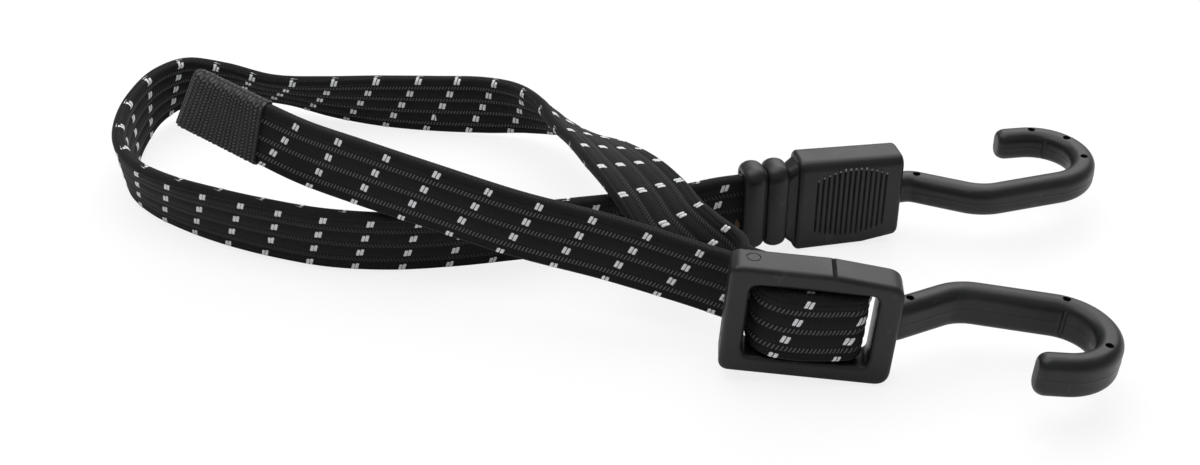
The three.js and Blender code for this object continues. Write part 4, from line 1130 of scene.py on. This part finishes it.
def crossbar_rings():
    half_width, half_depth = (size / 2 for size in CROSSBAR_SIZE)
    section = rounded_section(half_width, half_depth, CROSSBAR_ROUND, *CROSSBAR_SECTION_STEPS)
    reach = WINDOW_HALF_HEIGHT + CROSSBAR_OVERLAP
    middle = np.array(CROSSBAR_PLACE)
    return np.array([np.column_stack([section + middle, np.full(len(section), z)]) for z in (-reach, reach)])


def notch_cutter():
    """A V-shaped cutter across the frame's upper edge."""
    low = FRAME_HALF_HEIGHT - NOTCH_DEPTH
    high = FRAME_HALF_HEIGHT + NOTCH_HALF
    left, right = TAPER_AT - 2 * NOTCH_HALF, TAPER_AT + 2 * NOTCH_HALF
    rings = [[(left, y, high), (TAPER_AT, y, low), (right, y, high)] for y in (-FRAME_DEPTH, FRAME_DEPTH)]
    return loft("cutter", np.array(rings, float), PLASTIC, adjuster)


def ejector_cutter():
    """A ring-shaped cutter for the round mark in the frame's upper edge."""
    turn = np.linspace(0, 2 * math.pi, EJECTOR_POINTS, endpoint=False)
    ring = np.stack([np.cos(turn), np.sin(turn)], 1)
    low, high = FRAME_HALF_HEIGHT - EJECTOR_GROOVE, FRAME_HALF_HEIGHT + CUTTER_CLEAR
    inner = EJECTOR_RADIUS - EJECTOR_GROOVE
    rings = []
    for radius, z in ((EJECTOR_RADIUS, low), (EJECTOR_RADIUS, high), (inner, high), (inner, low)):
        rings.append(np.column_stack([ring * radius + np.array(EJECTOR_PLACE), np.full(len(ring), z)]))
    return loft("cutter", np.array(rings), PLASTIC, adjuster, flat_ends=False)


adjuster_hook_place = adjuster @ Matrix.Translation((ADJUSTER_HOOK_PLACE * MM, 0, ADJUSTER_HOOK_RISE * MM))
adjuster_frame = loft("frame_moulding", frame_rings(), PLASTIC, adjuster, flat_ends=False, sharp=SHARP_BODY)
cut(adjuster_frame, [notch_cutter(), ejector_cutter()], SHARP_BODY)
crossbar = loft("crossbar_moulding", crossbar_rings(), PLASTIC, adjuster, sharp=SHARP_HOOK)
adjuster_hook = hook(
    "adjuster_hook_moulding",
    ADJUSTER_HOOK_ROOT,
    -1,
    ADJUSTER_HOOK_HEIGHT,
    adjuster_hook_place,
    ADJUSTER_HOLES,
)

# What each piece rides on and stands for

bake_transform(fixed_webbing)
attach(loop_webbing, "strap_turn")
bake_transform(return_webbing)
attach(wrap_webbing, "adjuster")
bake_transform(tail_webbing)
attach(tab, "tail_end")

mouldings = (
    (housing, "fixed_end", "fixed_housing"),
    (fixed_hook, "fixed_end", "fixed_hook_cover"),
    (adjuster_frame, "adjuster", "adjuster_frame"),
    (crossbar, "adjuster", "adjuster_frame"),
    (adjuster_hook, "adjuster", "adjuster_frame"),
)
for piece, body, node in mouldings:
    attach(piece, body)
    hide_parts(node)

stretches = (
    (fixed_webbing, "strap_fixed_run", fixed_strand),
    (loop_webbing, "strap_loop", loop_strand),
    (return_webbing, "strap_return_run", return_strand),
    (tail_webbing, "strap_tail", tail_strand),
)
for piece, node, strand in stretches:
    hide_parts(node)
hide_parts("strap_bar_wrap")
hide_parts("tail_tab")

# Carried-over solids

NODE_MATERIALS = {
    "fixed_hook_wire": STEEL,
    "adjuster_hook_wire": STEEL,
    "strap_crimp": STEEL,
    "strap_anchor": WEBBING,
}
for node, material in NODE_MATERIALS.items():
    data = bpy.data.objects[node].data
    data.materials.clear()
    data.materials.append(material)

# Floor and light

FLOOR_GREY, FLOOR_WHITE = (0.93, 0.93, 0.93), 0.82
FLOOR_CORNERS = [(-4, -3, 0), (4, -3, 0), (4, 6, 0), (-4, 6, 0)]
FLOOR_GAP = 0.0001
WORLD_STRENGTH = 0.3
# Lamps by name: place, target and size in metres, power in watts
LAMPS = {
    "key": ((-0.20, 0.25, 1.05), (-0.05, 0, 0), (1.5, 1.1), 15.0),
    "back": ((0.35, 0.85, 0.60), (0, 0, 0), (0.9, 0.5), 4.0),
    "front": ((0.2, -0.9, 0.8), (0, 0, 0), (1.2, 0.7), 0.5),
}


def floor_material():
    """Pale floor that takes the shadows, mixed with plain white for the camera."""
    look = Look("floor")
    look.set({"Base Color": FLOOR_GREY, "Roughness": 0.7, "Specular IOR Level": 0.15})
    white = look.node("Emission", {"Strength": 1.0})[0]
    to_camera = look.node("LightPath", {})["Is Camera Ray"]
    share = look.math("MULTIPLY", to_camera, FLOOR_WHITE)
    mixed = look.node("MixShader", {0: share, 1: look.shader.outputs[0], 2: white})[0]
    look.feed(look.tree.nodes["Material Output"].inputs["Surface"], mixed)
    return look.material


floor = mesh_object("floor", FLOOR_CORNERS, [(0, 1, 2, 3)], None, (floor_material(),))
floor.location.z = min(0.0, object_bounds()[0][2]) - FLOOR_GAP


def lamp(name, place, target, size, power):
    data = bpy.data.lights.new(name, "AREA")
    data.shape = "RECTANGLE"
    data.size, data.size_y = size
    data.energy = power
    light = bpy.data.objects.new(name, data)
    light.location = place
    light.rotation_euler = (Vector(target) - Vector(place)).to_track_quat("-Z", "Y").to_euler()
    bpy.context.collection.objects.link(light)


for lamp_name, lamp_values in LAMPS.items():
    lamp(lamp_name, *lamp_values)

world = bpy.data.worlds.new("studio")
bpy.context.scene.world = world
world.use_nodes = True
background = world.node_tree.nodes["Background"]
background.inputs["Color"].default_value = (1, 1, 1, 1)
background.inputs["Strength"].default_value = WORLD_STRENGTH

bpy.context.scene.view_settings.view_transform = "Standard"
